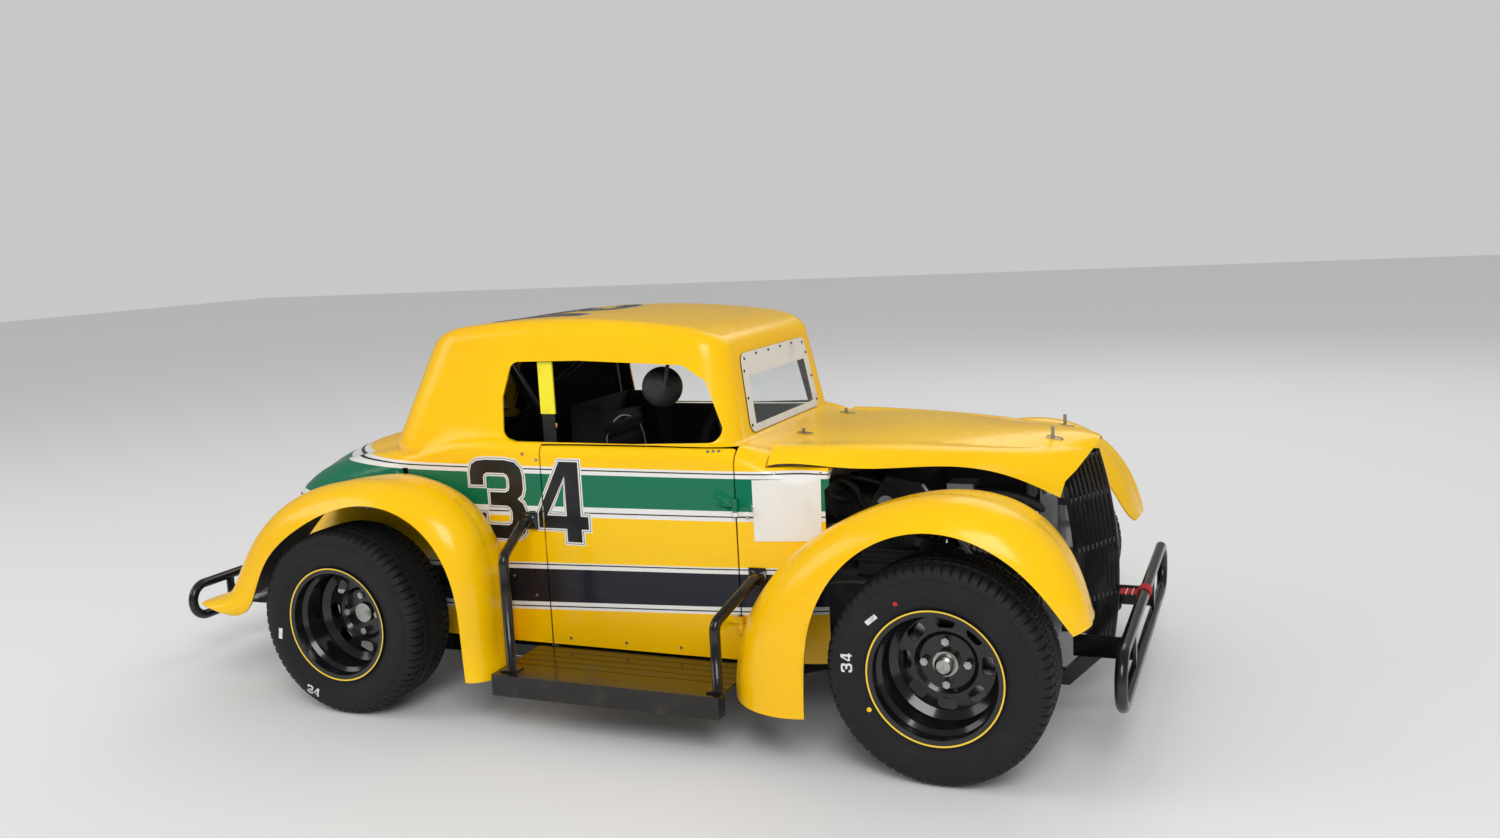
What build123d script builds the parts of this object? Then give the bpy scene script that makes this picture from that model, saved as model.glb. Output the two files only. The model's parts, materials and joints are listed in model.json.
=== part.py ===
from build123d import *
import os
from math import cos, radians, sin, tan

os.makedirs("parts", exist_ok=True)

# A small closed-cab race car with 1930s fenders on a tube frame, in millimetres.
# +X is forward, +Y is to the driver's left and Z = 0 is the ground under the tyres.

# Main sizes of the car
wheelbase = 1854
car_length = 3200
front_axle_x = 1155
rear_axle_x = front_axle_x - wheelbase
SIDES = (("right", -1), ("left", 1))

# Gaps between pieces
seam = 5.0
hood_seam = 5.0
running_gap = 0.3
pin_gap = 2.0
seat_gap = 0.3

# Tyres and steel rims
tyre_radius = 288
wheel_z = tyre_radius
tyre_centre_y = 640
bead_radius = 164.3
stud_circle_radius = 57.15
stud_count = 4
stud_radius = 6
stud_hole_radius = 7
rim_window_count = 8

# Body panels
body_wall = 6
door_wall = 22
door_inner_y = 440
ground_line = 191
door_front_x = 528
door_rear_x = -107
door_top_z = 806
hood_rear_x = 617
cowl_front_x = 792
cowl_panel_top = 749
tail_end_x = -1400

# Cab
cab_base_z = 720
cab_top_z = 1175
screen_base_x, screen_base_z = 512, 812
screen_rake = 9.2
backlight_base_x, backlight_base_z = -707, 799
backlight_rake = 23.5
cab_base_half = 458
cab_top_half = 375
roof_edge_radius = 62

# Door hinges: a pin outside the skin at each door's front edge
hinge_x = 528
hinge_y = 476
hinge_pin_radius = 4
hinge_barrel_radius = 8
hinge_leaf = 52
hinge_throat = 2
hinge_half = 25
HINGE_HEIGHTS = (300, 640)

# Tube frame and cage
rail_size = 38
rail_z = 140
cabin_rail_y = 400
front_rail_y = 230
rear_rail_y = 240
cage_radius = 17.5
bumper_radius = 16
floor_sheet = 3
firewall_x = 598

# Doors' and steering's hinges
kingpin_y = 500
kingpin_radius = 14
spindle_radius = 15
ball_pin_radius = 8
lower_ball_z = 190
upper_ball_z = 378
steering_arm_length = 115
steering_arm_z = 232


def save(part, name):
    """Labels a finished piece and writes it."""
    part.label = name
    export_step(part, f"parts/{name}.step")


def cross_plane(x):
    """The plane across the car at a length, with Y to the right of the sketch and Z up."""
    return Plane(origin=(x, 0, 0), x_dir=(0, 1, 0), z_dir=(1, 0, 0))


def side_plane(y):
    """The plane along the car at a width, with X to the right of the sketch and Z up."""
    return Plane(origin=(0, y, 0), x_dir=(1, 0, 0), z_dir=(0, -1, 0))


def tube(points, radius, bend=0):
    """A round bar along straight runs, with one bend radius."""
    with BuildPart() as bar:
        with BuildLine() as route:
            if bend:
                FilletPolyline(*points, radius=bend)
            else:
                Polyline(*points)
        with BuildSketch(Plane(origin=route.line @ 0, z_dir=route.line % 0)):
            Circle(radius)
        sweep(path=route.line, transition=Transition.RIGHT)
    return bar.part


def rail(points, size):
    """A square bar along straight runs, mitred at its corners."""
    with BuildPart() as bar:
        with BuildLine() as route:
            Polyline(*points)
        along = route.line % 0
        level = Vector(0, 0, 1).cross(along) if abs(along.Z) < 0.9 else Vector(0, 1, 0)
        with BuildSketch(Plane(origin=route.line @ 0, x_dir=level, z_dir=along)):
            Rectangle(size, size)
        sweep(path=route.line, transition=Transition.RIGHT)
    return bar.part


def box(x, y, z):
    """A box between low and high corners, each given as a (low, high) pair."""
    with BuildPart() as block:
        with BuildSketch(Plane.XY.offset(z[0])):
            with Locations(((x[0] + x[1]) / 2, (y[0] + y[1]) / 2)):
                Rectangle(x[1] - x[0], y[1] - y[0])
        extrude(amount=z[1] - z[0])
    return block.part


# Lower body, cowl and tail: x, half width, height where the side turns in, half width and
# height where the top begins, height at the middle, height of the lower edge
BODY_STATIONS = (
    (cowl_front_x, 430, 745, 318, 800, 812, ground_line),
    (door_front_x, 466, 760, 392, 806, 814, ground_line),
    (330, 470, 768, 420, 812, 815, ground_line),
    (door_rear_x, 470, 772, 422, 814, 817, ground_line),
    (-474, 462, 765, 405, 812, 822, ground_line),
    (-707, 440, 690, 340, 765, 799, 200),
    (-983, 385, 600, 275, 712, 755, 230),
    (-1220, 300, 500, 200, 605, 647, 255),
    (-1351, 232, 400, 150, 490, 530, 270),
    (tail_end_x, 205, 360, 125, 440, 478, 280),
)


def body_half(x):
    """Half width of the lower body at a length."""
    for ahead, behind in zip(BODY_STATIONS, BODY_STATIONS[1:]):
        if behind[0] <= x <= ahead[0]:
            share = (x - behind[0]) / (ahead[0] - behind[0])
            return behind[1] + share * (ahead[1] - behind[1])
    return BODY_STATIONS[0][1] if x > 0 else BODY_STATIONS[-1][1]


def body_section(station, inset, drop):
    """One closed outline across the lower body, drawn in by inset and down by drop."""
    x, half, turn_z, top_half, top_edge_z, top_z, low_z = station
    half -= inset
    turn_z -= inset
    top_half -= inset
    top_edge_z -= inset
    top_z -= inset
    low_z -= drop
    bulge_y = top_half + 0.72 * (half - top_half)
    bulge_z = turn_z + 0.72 * (top_edge_z - turn_z)
    with BuildSketch(cross_plane(x)) as outline:
        with BuildLine():
            Line((-half, low_z), (half, low_z))
            Line((half, low_z), (half, turn_z))
            ThreePointArc((half, turn_z), (bulge_y, bulge_z), (top_half, top_edge_z))
            ThreePointArc((top_half, top_edge_z), (0, top_z), (-top_half, top_edge_z))
            ThreePointArc((-top_half, top_edge_z), (-bulge_y, bulge_z), (-half, turn_z))
            Line((-half, turn_z), (-half, low_z))
        make_face()
    return outline.sketch


def build_lower(inset=0, drop=0, front_reach=0):
    """The lower body as one solid, drawn in by inset on its sides, top and tail."""
    outlines = []
    for station in BODY_STATIONS:
        x = station[0]
        if x == cowl_front_x:
            x += front_reach
        if x == tail_end_x:
            x += inset
        outlines.append(body_section((x,) + station[1:], inset, drop))
    with BuildPart() as lower:
        loft(sections=outlines)
    return lower.part


def cab_ends(z):
    """Where the cab's front and rear walls stand at a height."""
    front = screen_base_x - (z - screen_base_z) * tan(radians(screen_rake))
    rear = backlight_base_x + (z - backlight_base_z) * tan(radians(backlight_rake))
    return front, rear


def cab_half(z):
    """Half width of the cab at a height."""
    share = (z - cab_base_z) / (cab_top_z - cab_base_z)
    return cab_base_half + share * (cab_top_half - cab_base_half)


# Side view of the roof: the crown's arc, and where the arcs at its ends leave the cab
ROOF_CROWN = ((330, 1142), (-60, 1171), (-430, 1153))
roof_front_end = (580, 1000)
roof_rear_end = (-660, 1010)
cab_front_corner = 90
cab_rear_corner = 140


def build_cab(inset=0):
    """The cab as one solid with its roof, drawn in by inset."""
    with BuildPart() as cab:
        for z in (cab_base_z, cab_top_z):
            front, rear = cab_ends(z)
            middle = (front + rear) / 2
            with BuildSketch(Plane.XY.offset(z)):
                with Locations((middle, 0)):
                    Rectangle(front - rear - 2 * inset, 2 * (cab_half(z) - inset))
                fillet(vertices().group_by(Axis.X)[0], cab_rear_corner - inset)
                fillet(vertices().group_by(Axis.X)[-1], cab_front_corner - inset)
        loft(ruled=True)
        with BuildSketch(Plane.XZ):
            with BuildLine():
                crown = ThreePointArc(*[(x, z - inset) for x, z in ROOF_CROWN])
                brow_end = (roof_front_end[0], roof_front_end[1] - inset)
                nape_end = (roof_rear_end[0], roof_rear_end[1] - inset)
                TangentArc(crown @ 0, brow_end, tangent=-(crown % 0))
                TangentArc(crown @ 1, nape_end, tangent=crown % 1)
                low_z = cab_base_z - 10
                Polyline(nape_end, (-760, 940), (-760, low_z), (600, low_z), brow_end)
            make_face()
        extrude(amount=600, both=True, mode=Mode.INTERSECT)
        roof = faces().filter_by(lambda face: face.normal_at().Z > 0.3)
        straight = roof.edges().filter_by(GeomType.LINE).sort_by(Axis.X)
        curved = roof.edges().filter_by(GeomType.LINE, reverse=True)
        fillet([straight[0], straight[-1]] + list(curved), roof_edge_radius - inset)
    return cab.part


# Side window: x, z of its corners, with one corner radius
SIDE_WINDOW = (
    (-247, 822), (-254, 940), (-226, 1048), (10, 1050), (352, 1034),
    (424, 990), (476, 850), (462, 816), (200, 808), (-200, 810),
)
window_corner = 34
screen_half_low, screen_half_high = 272, 246
screen_low, screen_high = 26, 214
backlight_half, backlight_low, backlight_high = 215, 890, 1035


screen_plane = Plane(
    origin=(screen_base_x, 0, screen_base_z),
    x_dir=(0, 1, 0),
    z_dir=(cos(radians(screen_rake)), 0, sin(radians(screen_rake))),
)


def window_cutters():
    """The solids that cut the side windows, the windscreen and the rear window."""
    with BuildPart() as cutters:
        with BuildSketch(Plane.XZ):
            with BuildLine():
                Polyline(*SIDE_WINDOW, close=True)
            make_face()
            fillet(vertices(), window_corner)
        extrude(amount=600, both=True)
        with BuildSketch(screen_plane):
            with BuildLine():
                Polyline(
                    (-screen_half_low, screen_low),
                    (screen_half_low, screen_low),
                    (screen_half_high, screen_high),
                    (-screen_half_high, screen_high),
                    close=True,
                )
            make_face()
            fillet(vertices(), window_corner)
        extrude(amount=60, both=True)
        with BuildSketch(cross_plane(backlight_base_x - 60)):
            with Locations((0, (backlight_low + backlight_high) / 2)):
                RectangleRounded(
                    2 * backlight_half, backlight_high - backlight_low, window_corner
                )
        extrude(amount=220)
    return cutters.part


def hinge_halves(sign, ahead):
    """The hinge leaves and barrels of one side: ahead is 1 on the body and -1 on the door."""
    with BuildPart() as halves:
        for z in HINGE_HEIGHTS:
            low, high = (z - hinge_half, z) if ahead > 0 else (z + running_gap, z + hinge_half)
            add(
                box(
                    sorted((hinge_x + ahead * hinge_throat, hinge_x + ahead * hinge_leaf)),
                    sorted((sign * (hinge_y - 6), sign * (hinge_y - 18))),
                    (low, high),
                )
            )
            with BuildSketch(Plane.XY.offset(low)):
                with Locations((hinge_x, sign * hinge_y)):
                    Circle(hinge_barrel_radius)
            extrude(amount=high - low)
            if ahead < 0:
                with BuildSketch(Plane.XY.offset(low)):
                    with Locations((hinge_x, sign * hinge_y)):
                        Circle(hinge_pin_radius + running_gap)
                extrude(amount=high - low, mode=Mode.SUBTRACT)
            else:
                with BuildSketch(Plane.XY.offset(low)):
                    with Locations((hinge_x, sign * hinge_y)):
                        Circle(hinge_pin_radius)
                extrude(amount=2 * hinge_half)
    return halves.part


outer_lower = build_lower()
inner_lower = build_lower(body_wall, 60, 40)
door_lower = build_lower(door_wall, 60, 40)
outer_cab = build_cab()
inner_cab = build_cab(body_wall)
with BuildPart() as cab_well:
    front, rear = cab_ends(cab_base_z)
    half = cab_half(cab_base_z) - body_wall
    with BuildSketch(Plane.XY.offset(cab_base_z - 40)):
        with Locations(((front + rear) / 2, 0)):
            Rectangle(front - rear - 2 * body_wall, 2 * half)
        fillet(vertices().group_by(Axis.X)[0], cab_rear_corner - body_wall)
        fillet(vertices().group_by(Axis.X)[-1], cab_front_corner - body_wall)
    extrude(amount=40)

# Body shell: cowl, cab and tail in one moulding, open below, with its windows cut
rear_arch_half = 150
rear_arch_top = 430
BODY_TABS = (-130, -470)
body_tab_z = 210
rail_outer_y = cabin_rail_y + rail_size / 2
with BuildPart() as body_shell:
    add(outer_lower)
    add(outer_cab)
    add(inner_lower, mode=Mode.SUBTRACT)
    add(inner_cab, mode=Mode.SUBTRACT)
    add(cab_well.part, mode=Mode.SUBTRACT)
    add(window_cutters(), mode=Mode.SUBTRACT)
    add(box((hood_rear_x - hood_seam, cowl_front_x + 20), (-600, 600), (cowl_panel_top, 900)), mode=Mode.SUBTRACT)
    add(box((door_rear_x, door_front_x), (-600, 600), (ground_line - 10, door_top_z)), mode=Mode.SUBTRACT)
    add(
        box(
            (rear_axle_x - rear_arch_half, rear_axle_x + rear_arch_half),
            (-600, 600),
            (ground_line - 20, rear_arch_top),
        ),
        mode=Mode.SUBTRACT,
    )
    for side, sign in SIDES:
        add(hinge_halves(sign, 1))
        for x in BODY_TABS:
            add(
                box(
                    (x - 12, x + 12),
                    sorted((sign * (rail_outer_y + seat_gap), sign * (body_half(x) - 2))),
                    (body_tab_z, body_tab_z + 4),
                )
            )
save(body_shell.part, "body_shell")

# Doors: the panel below each window, as thick as the whole door
for side, sign in SIDES:
    with BuildPart() as door:
        add(outer_lower)
        add(door_lower, mode=Mode.SUBTRACT)
        with BuildSketch(Plane.XY.offset(ground_line)):
            with Locations(((door_rear_x + door_front_x) / 2, sign * (door_inner_y + 40))):
                Rectangle(door_front_x - door_rear_x - 2 * seam, 80)
        extrude(amount=door_top_z - seam - ground_line, mode=Mode.INTERSECT)
        add(hinge_halves(sign, -1))
    save(door.part, f"door_{side}")

# Hood: x, half width and height at the shoulder, height at the middle, half width and
# height at the lower edge
HOOD_STATIONS = (
    (hood_rear_x, 330, 803, 812, 442, 755),
    (800, 312, 800, 810, 424, 753),
    (1120, 245, 788, 806, 350, 748),
    (1300, 190, 776, 803, 288, 700),
    (1400, 130, 768, 797, 232, 640),
    (1475, 60, 745, 775, 150, 600),
)
hood_wall = 4
hood_pin_radius = 5
hood_pin_top_z = 822


def build_hood(inset=0, drop=0, reach=0):
    """The hood as one solid, drawn in by inset and open below by drop."""
    outlines = []
    for index, station in enumerate(HOOD_STATIONS):
        x, shoulder_y, shoulder_z, top_z, low_y, low_z = station
        if index == 0:
            x -= reach
        shoulder_y -= inset
        shoulder_z -= inset
        top_z -= inset
        low_y -= inset
        low_z -= drop
        mid_y = shoulder_y + 0.72 * (low_y - shoulder_y)
        mid_z = low_z + 0.66 * (shoulder_z - low_z)
        with BuildSketch(cross_plane(x)) as outline:
            with BuildLine():
                Line((-low_y, low_z), (low_y, low_z))
                ThreePointArc((low_y, low_z), (mid_y, mid_z), (shoulder_y, shoulder_z))
                ThreePointArc((shoulder_y, shoulder_z), (0, top_z), (-shoulder_y, shoulder_z))
                ThreePointArc((-shoulder_y, shoulder_z), (-mid_y, mid_z), (-low_y, low_z))
            make_face()
        outlines.append(outline.sketch)
    with BuildPart() as hood:
        loft(sections=outlines)
    return hood.part


# Side view of the hood's front edge, from the nose tip down and back: x, z
NOSE_EDGE = ((1468, 800), (1466, 770), (1425, 715), (1400, 690), (1387, 640))
HOOD_PINS = ((640, 200), (1350, 110))
with BuildPart() as hood:
    add(build_hood())
    add(build_hood(hood_wall, 8, 20), mode=Mode.SUBTRACT)
    with BuildSketch(Plane.XZ):
        with BuildLine():
            Polyline(*NOSE_EDGE, (1387, 560), (1560, 560), (1560, 800), close=True)
        make_face()
    extrude(amount=600, both=True, mode=Mode.SUBTRACT)
    with BuildSketch(Plane.XY.offset(700)):
        for x, y in HOOD_PINS:
            with Locations((x, y), (x, -y)):
                Circle(hood_pin_radius + running_gap)
    extrude(amount=200, mode=Mode.SUBTRACT)
save(hood.part, "hood")

# Windscreen: a clear sheet screwed over the opening, with a white border and sun strip
screen_sheet = 3
border_sheet = 1
with BuildPart() as windscreen:
    with BuildSketch(screen_plane.offset(seat_gap)):
        with BuildLine():
            Polyline((-295, 8), (295, 8), (266, 242), (-266, 242), close=True)
        make_face()
        fillet(vertices(), 30)
    extrude(amount=screen_sheet)
save(windscreen.part, "windscreen")

with BuildPart() as windscreen_border:
    with BuildSketch(screen_plane.offset(seat_gap + screen_sheet)):
        with BuildLine():
            Polyline((-295, 8), (295, 8), (266, 242), (-266, 242), close=True)
        make_face()
        fillet(vertices(), 30)
        with BuildLine():
            Polyline((-248, 30), (248, 30), (236, 172), (-236, 172), close=True)
        make_face(mode=Mode.SUBTRACT)
    extrude(amount=border_sheet)
save(windscreen_border.part, "windscreen_border")

# Fenders: angle about the axle seen from the side, width and radius of the free outer edge,
# radius and width of the crown, width of the inner edge and how far it lies below the crown
fender_wall = 5
fender_foot_z = 152
FRONT_FENDER = (
    (207, 748, 385, 660, 640, 472, 10),
    (190, 748, 348, 592, 630, 462.7, 12),
    (170, 748, 338, 546, 615, 461, 16),
    (145, 748, 348, 480, 605, 446, 20),
    (110, 748, 368, 434, 600, 425, 24),
    (75, 748, 368, 442, 590, 410, 30),
    (45, 738, 352, 422, 585, 420, 34),
    (20, 690, 352, 388, 605, 500, 10),
)
REAR_FENDER = (
    (-24, 748, 500, 600, 650, 472, 145),
    (-5, 748, 462, 512, 640, 471, 57),
    (20, 748, 468, 530, 620, 470.2, 68),
    (48, 748, 455, 528, 610, 468, 72),
    (75, 748, 385, 445, 605, 460, 16),
    (102, 748, 322, 412, 600, 440, 20),
    (130, 748, 304, 418, 600, 410, 26),
    (155, 748, 305, 436, 620, 420, 20),
    (177, 748, 500, 556, 690, 600, 4),
)


def build_fender(table, axle_x, sign):
    """A fender as one thin moulding over radial sections about the axle."""
    with BuildPart() as fender:
        for angle, edge_y, edge, crown, crown_y, inner_y, drop in table:
            radial = (cos(radians(angle)), 0, sin(radians(angle)))
            normal = (sign * sin(radians(angle)), 0, -sign * cos(radians(angle)))
            plane = Plane(origin=(axle_x, 0, wheel_z), x_dir=(0, sign, 0), z_dir=normal)
            t = fender_wall
            out_mid = (crown_y + 0.74 * (edge_y - crown_y), edge + 0.70 * (crown - edge))
            in_mid = ((crown_y + inner_y) / 2, crown - 0.2 * drop)
            with BuildSketch(plane):
                with BuildLine():
                    ThreePointArc((edge_y, edge), out_mid, (crown_y, crown))
                    ThreePointArc((crown_y, crown), in_mid, (inner_y, crown - drop))
                    Line((inner_y, crown - drop), (inner_y, crown - drop - t))
                    ThreePointArc(
                        (inner_y, crown - drop - t), (in_mid[0], in_mid[1] - t), (crown_y, crown - t)
                    )
                    ThreePointArc(
                        (crown_y, crown - t), (out_mid[0] - 0.8 * t, out_mid[1] - 0.8 * t), (edge_y - t, edge)
                    )
                    Line((edge_y - t, edge), (edge_y, edge))
                make_face()
        loft()
        split(bisect_by=Plane.XY.offset(fender_foot_z), keep=Keep.TOP)
    return fender.part


for side, sign in SIDES:
    fender_front = build_fender(FRONT_FENDER, front_axle_x, sign)
    save(fender_front, f"fender_front_{side}")
    fender_rear = build_fender(REAR_FENDER, rear_axle_x, sign)
    save(fender_rear, f"fender_rear_{side}")

# Tube frame: perimeter rails, narrowed at the front, kicked up over the rear axle
kick_z = 420
rail_nose_x = 1480
rail_tail_x = -1450
rail_nose_z = 220
thin_rail = 25
upper_rail_y = 205
upper_arm_rail_z = 396
shock_tower_x = rear_axle_x - 60
shock_tower_z = 640
board_rail_y = 703
board_arm_y = board_rail_y - 2 * seat_gap
CELL_BARS = (-960, -1130)
cell_low_z = 286
with BuildPart() as chassis_frame:
    for side, sign in SIDES:
        front_y = sign * front_rail_y
        cabin_y = sign * cabin_rail_y
        rear_y = sign * rear_rail_y
        nose = (rail_nose_x, front_y, rail_nose_z)
        add(rail((nose, (1400, front_y, rail_z), (750, front_y, rail_z)), rail_size))
        add(rail(((772, sign * 222, rail_z), (580, cabin_y, rail_z)), rail_size))
        add(rail(((600, cabin_y, rail_z), (-579, cabin_y, rail_z)), rail_size))
        add(
            rail(
                (
                    (-545, rear_y, rail_z),
                    (-650, rear_y, kick_z),
                    (-830, rear_y, kick_z),
                    (-970, rear_y, 250),
                    (rail_tail_x, rear_y, 205),
                ),
                rail_size,
            )
        )
        upper_y = sign * upper_rail_y
        add(rail(((1312, upper_y, 425), (700, upper_y, 560), (622, sign * 300, 580)), thin_rail))
        add(rail(((1310, upper_y, upper_arm_rail_z), (990, upper_y, upper_arm_rail_z)), thin_rail))
        for x, top in ((1310, 430), (1000, 492)):
            add(rail(((x, upper_y, rail_z), (x, upper_y, top)), thin_rail))
        add(
            box(
                (front_axle_x - 20, front_axle_x + 20),
                sorted((sign * 200, sign * 250)),
                (456, 470),
            )
        )
        for x in (-60, 500):
            add(rail(((x, cabin_y, rail_z), (x, sign * board_arm_y, rail_z + 8)), thin_rail))
        add(rail(((-107, sign * 150, rail_z), (-107, cabin_y, rail_z)), rail_size))
        for x in BODY_TABS:
            add(
                box(
                    (x - 12, x + 12),
                    sorted((sign * (rail_outer_y - 6), sign * rail_outer_y)),
                    (rail_z, body_tab_z + 20),
                )
            )
        add(
            rail(
                ((shock_tower_x, rear_y, kick_z), (shock_tower_x, rear_y, shock_tower_z)),
                thin_rail,
            )
        )
    for x in CELL_BARS:
        add(box((x - 12, x + 12), (-rear_rail_y, rear_rail_y), (cell_low_z - 40, cell_low_z)))
    for x, z, y, size in (
        (590, rail_z, cabin_rail_y, rail_size),
        (-560, rail_z, cabin_rail_y, rail_size),
        (1290, rail_z, front_rail_y, rail_size),
        (-740, kick_z, rear_rail_y, rail_size),
        (-1330, 216, rear_rail_y, rail_size),
        (shock_tower_x, shock_tower_z, 345, thin_rail),
    ):
        add(rail(((x, -y, z), (x, y, z)), size))
save(chassis_frame.part, "chassis_frame")

# Roll cage: main hoop behind the seat, front hoop, roof and door bars, rear stays
cage_base_z = rail_z + rail_size / 2 + 1.4
main_hoop_x = -300
cage_bar_x = 480
front_hoop_x = 430
with BuildPart() as roll_cage:
    add(tube(
        (
            (main_hoop_x, -402, cage_base_z),
            (main_hoop_x, -408, 780),
            (main_hoop_x, -350, 1120),
            (main_hoop_x, 350, 1120),
            (main_hoop_x, 408, 780),
            (main_hoop_x, 402, cage_base_z),
        ),
        cage_radius,
        60,
    ))
    for side, sign in SIDES:
        add(tube(
            (
                (main_hoop_x, sign * 330, 1105),
                (280, sign * 330, 1100),
                (front_hoop_x, sign * 340, 1010),
                (476, sign * 376, 770),
                (500, sign * 404, cage_base_z),
            ),
            cage_radius,
            50,
        ))
        add(tube(((main_hoop_x, sign * 408, 560), (484, sign * 386, 560)), cage_radius))
        add(
            tube(
                (
                    (main_hoop_x, sign * 340, 1060),
                    (shock_tower_x + 6, sign * rear_rail_y, shock_tower_z + 34),
                ),
                cage_radius,
            )
        )
    for x, y, z in ((cage_bar_x, 374, 740), (main_hoop_x, 405, 700)):
        add(tube(((x, -y, z), (x, y, z)), cage_radius))
    add(tube(((250, -330, 1100), (250, 330, 1100)), cage_radius))
    add(tube(((main_hoop_x, -345, 1090), (main_hoop_x, 395, 200)), cage_radius))
save(roll_cage.part, "roll_cage")

# Floor: flat sheet under the cabin rails with the tunnel over the drive shaft
floor_top_z = rail_z - rail_size / 2
shaft_line_y = -95
tunnel_half = 45
tunnel_top_z = 330
tunnel_rear_x, tunnel_front_x = -540, 570
with BuildPart() as floor_pan:
    add(box((-579, 600), (-419, 419), (floor_top_z - floor_sheet, floor_top_z)))
    add(
        box(
            (tunnel_rear_x, tunnel_front_x),
            (shaft_line_y - tunnel_half, shaft_line_y + tunnel_half),
            (floor_top_z, tunnel_top_z),
        )
    )
    add(
        box(
            (tunnel_rear_x - 1, tunnel_front_x + 1),
            (shaft_line_y - tunnel_half + floor_sheet, shaft_line_y + tunnel_half - floor_sheet),
            (floor_top_z - floor_sheet, tunnel_top_z - floor_sheet),
        ),
        mode=Mode.SUBTRACT,
    )
save(floor_pan.part, "floor_pan")

# Where the steering shaft passes the firewall
shaft_y = 245
shaft_firewall_z = 560
drive_shaft_radius = 26
drive_shaft_firewall_z = 266
firewall_low_z = rail_z + rail_size / 2

# Firewall between the engine bay and the cabin
with BuildPart() as firewall:
    with BuildSketch(cross_plane(firewall_x)):
        with BuildLine():
            Polyline(
                (-400, firewall_low_z), (400, firewall_low_z), (500, 300), (500, 780),
                (-500, 780), (-500, 300), close=True,
            )
        make_face()
        with Locations((shaft_y, shaft_firewall_z)):
            Circle(24, mode=Mode.SUBTRACT)
        with Locations((shaft_line_y, drive_shaft_firewall_z)):
            Circle(drive_shaft_radius + 9, mode=Mode.SUBTRACT)
    extrude(amount=floor_sheet)
    add(build_lower(body_wall + seat_gap, 60, 40), mode=Mode.INTERSECT)
save(firewall.part, "firewall")

# Grille: upright bars behind a pointed outline, tied by bands, as on a 1930s radiator shell
bar_thick = 6
bar_deep = 14
bar_pitch = 19
bars_each_side = 9
prow_slope = 0.5
PROW = ((1462, 742), (1512, 470), (1500, 178))
band_heights = (330, 480, 620)
radiator_x = (1325, 1372)


def prow_x(z):
    """How far forward the middle bar reaches at a height."""
    reach = 0
    for x, at_z in PROW:
        share = 1
        for _, other_z in PROW:
            if other_z != at_z:
                share *= (z - other_z) / (at_z - other_z)
        reach += x * share
    return reach


def grille_half(z):
    """Half width of the grille at a height."""
    return 112 + 84 * sin(radians(min(90, max(0, (z - 178) / 4.6))))


with BuildPart() as grille:
    for index in range(-bars_each_side, bars_each_side + 1):
        y = index * bar_pitch
        back = prow_slope * abs(y)
        top = 742 - 0.33 * abs(y)
        low = 178 if abs(y) <= 112 else 178 + (abs(y) - 112) * 3.4
        with BuildSketch(side_plane(y + bar_thick / 2)):
            with BuildLine():
                front = ThreePointArc(*[(x - back, z) for x, z in PROW])
                behind = ThreePointArc(*[(x - back - bar_deep, z) for x, z in PROW])
                Line(front @ 0, behind @ 0)
                Line(front @ 1, behind @ 1)
            make_face()
            with Locations((1440, (top + low) / 2)):
                Rectangle(300, top - low, mode=Mode.INTERSECT)
        extrude(amount=bar_thick)
    for z in band_heights + (728, 185):
        reach = min(grille_half(z), bars_each_side * bar_pitch) + 3
        nose = prow_x(z) - 4
        with BuildSketch(Plane.XY.offset(z - 8)):
            with BuildLine():
                Polyline(
                    (nose - bar_deep, 0),
                    (nose - bar_deep - prow_slope * reach, reach),
                    (nose - prow_slope * reach, reach),
                    (nose, 0),
                    (nose - prow_slope * reach, -reach),
                    (nose - bar_deep - prow_slope * reach, -reach),
                    close=True,
                )
            make_face()
        extrude(amount=16)
    for z in band_heights[1:]:
        for sign in (-1, 1):
            add(box((radiator_x[1], prow_x(z) - prow_slope * 160 - bar_deep), sorted((sign * 152, sign * 172)), (z - 8, z + 8)))
save(grille.part, "grille")

# Radiator behind the grille, with its side tanks and its feet on the frame
radiator_top_z = 655
with BuildPart() as radiator:
    add(box((1332, 1365), (-150, 150), (240, radiator_top_z)))
    for sign in (-1, 1):
        add(box(radiator_x, sorted((sign * 150, sign * 185)), (235, radiator_top_z)))
        add(box((1340, 1358), sorted((sign * 245, sign * 180)), (rail_z + rail_size / 2, 262)))
save(radiator.part, "radiator")

# Hood pins: rear ones on shelves on the firewall, front ones on posts on the radiator
shelf_z = 765
with BuildPart() as hood_pins:
    for sign in (-1, 1):
        x, y = HOOD_PINS[0][0], sign * HOOD_PINS[0][1]
        add(box((firewall_x + floor_sheet, x + 14), (y - 15, y + 15), (shelf_z, shelf_z + 4)))
        add(tube(((x, y, shelf_z + 2), (x, y, hood_pin_top_z)), hood_pin_radius))
        x, y = HOOD_PINS[1][0], sign * HOOD_PINS[1][1]
        add(tube(((x, y, radiator_top_z), (x, y, shelf_z)), hood_pin_radius + 4))
        add(tube(((x, y, shelf_z - 1), (x, y, hood_pin_top_z)), hood_pin_radius))
save(hood_pins.part, "hood_pins")

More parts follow.
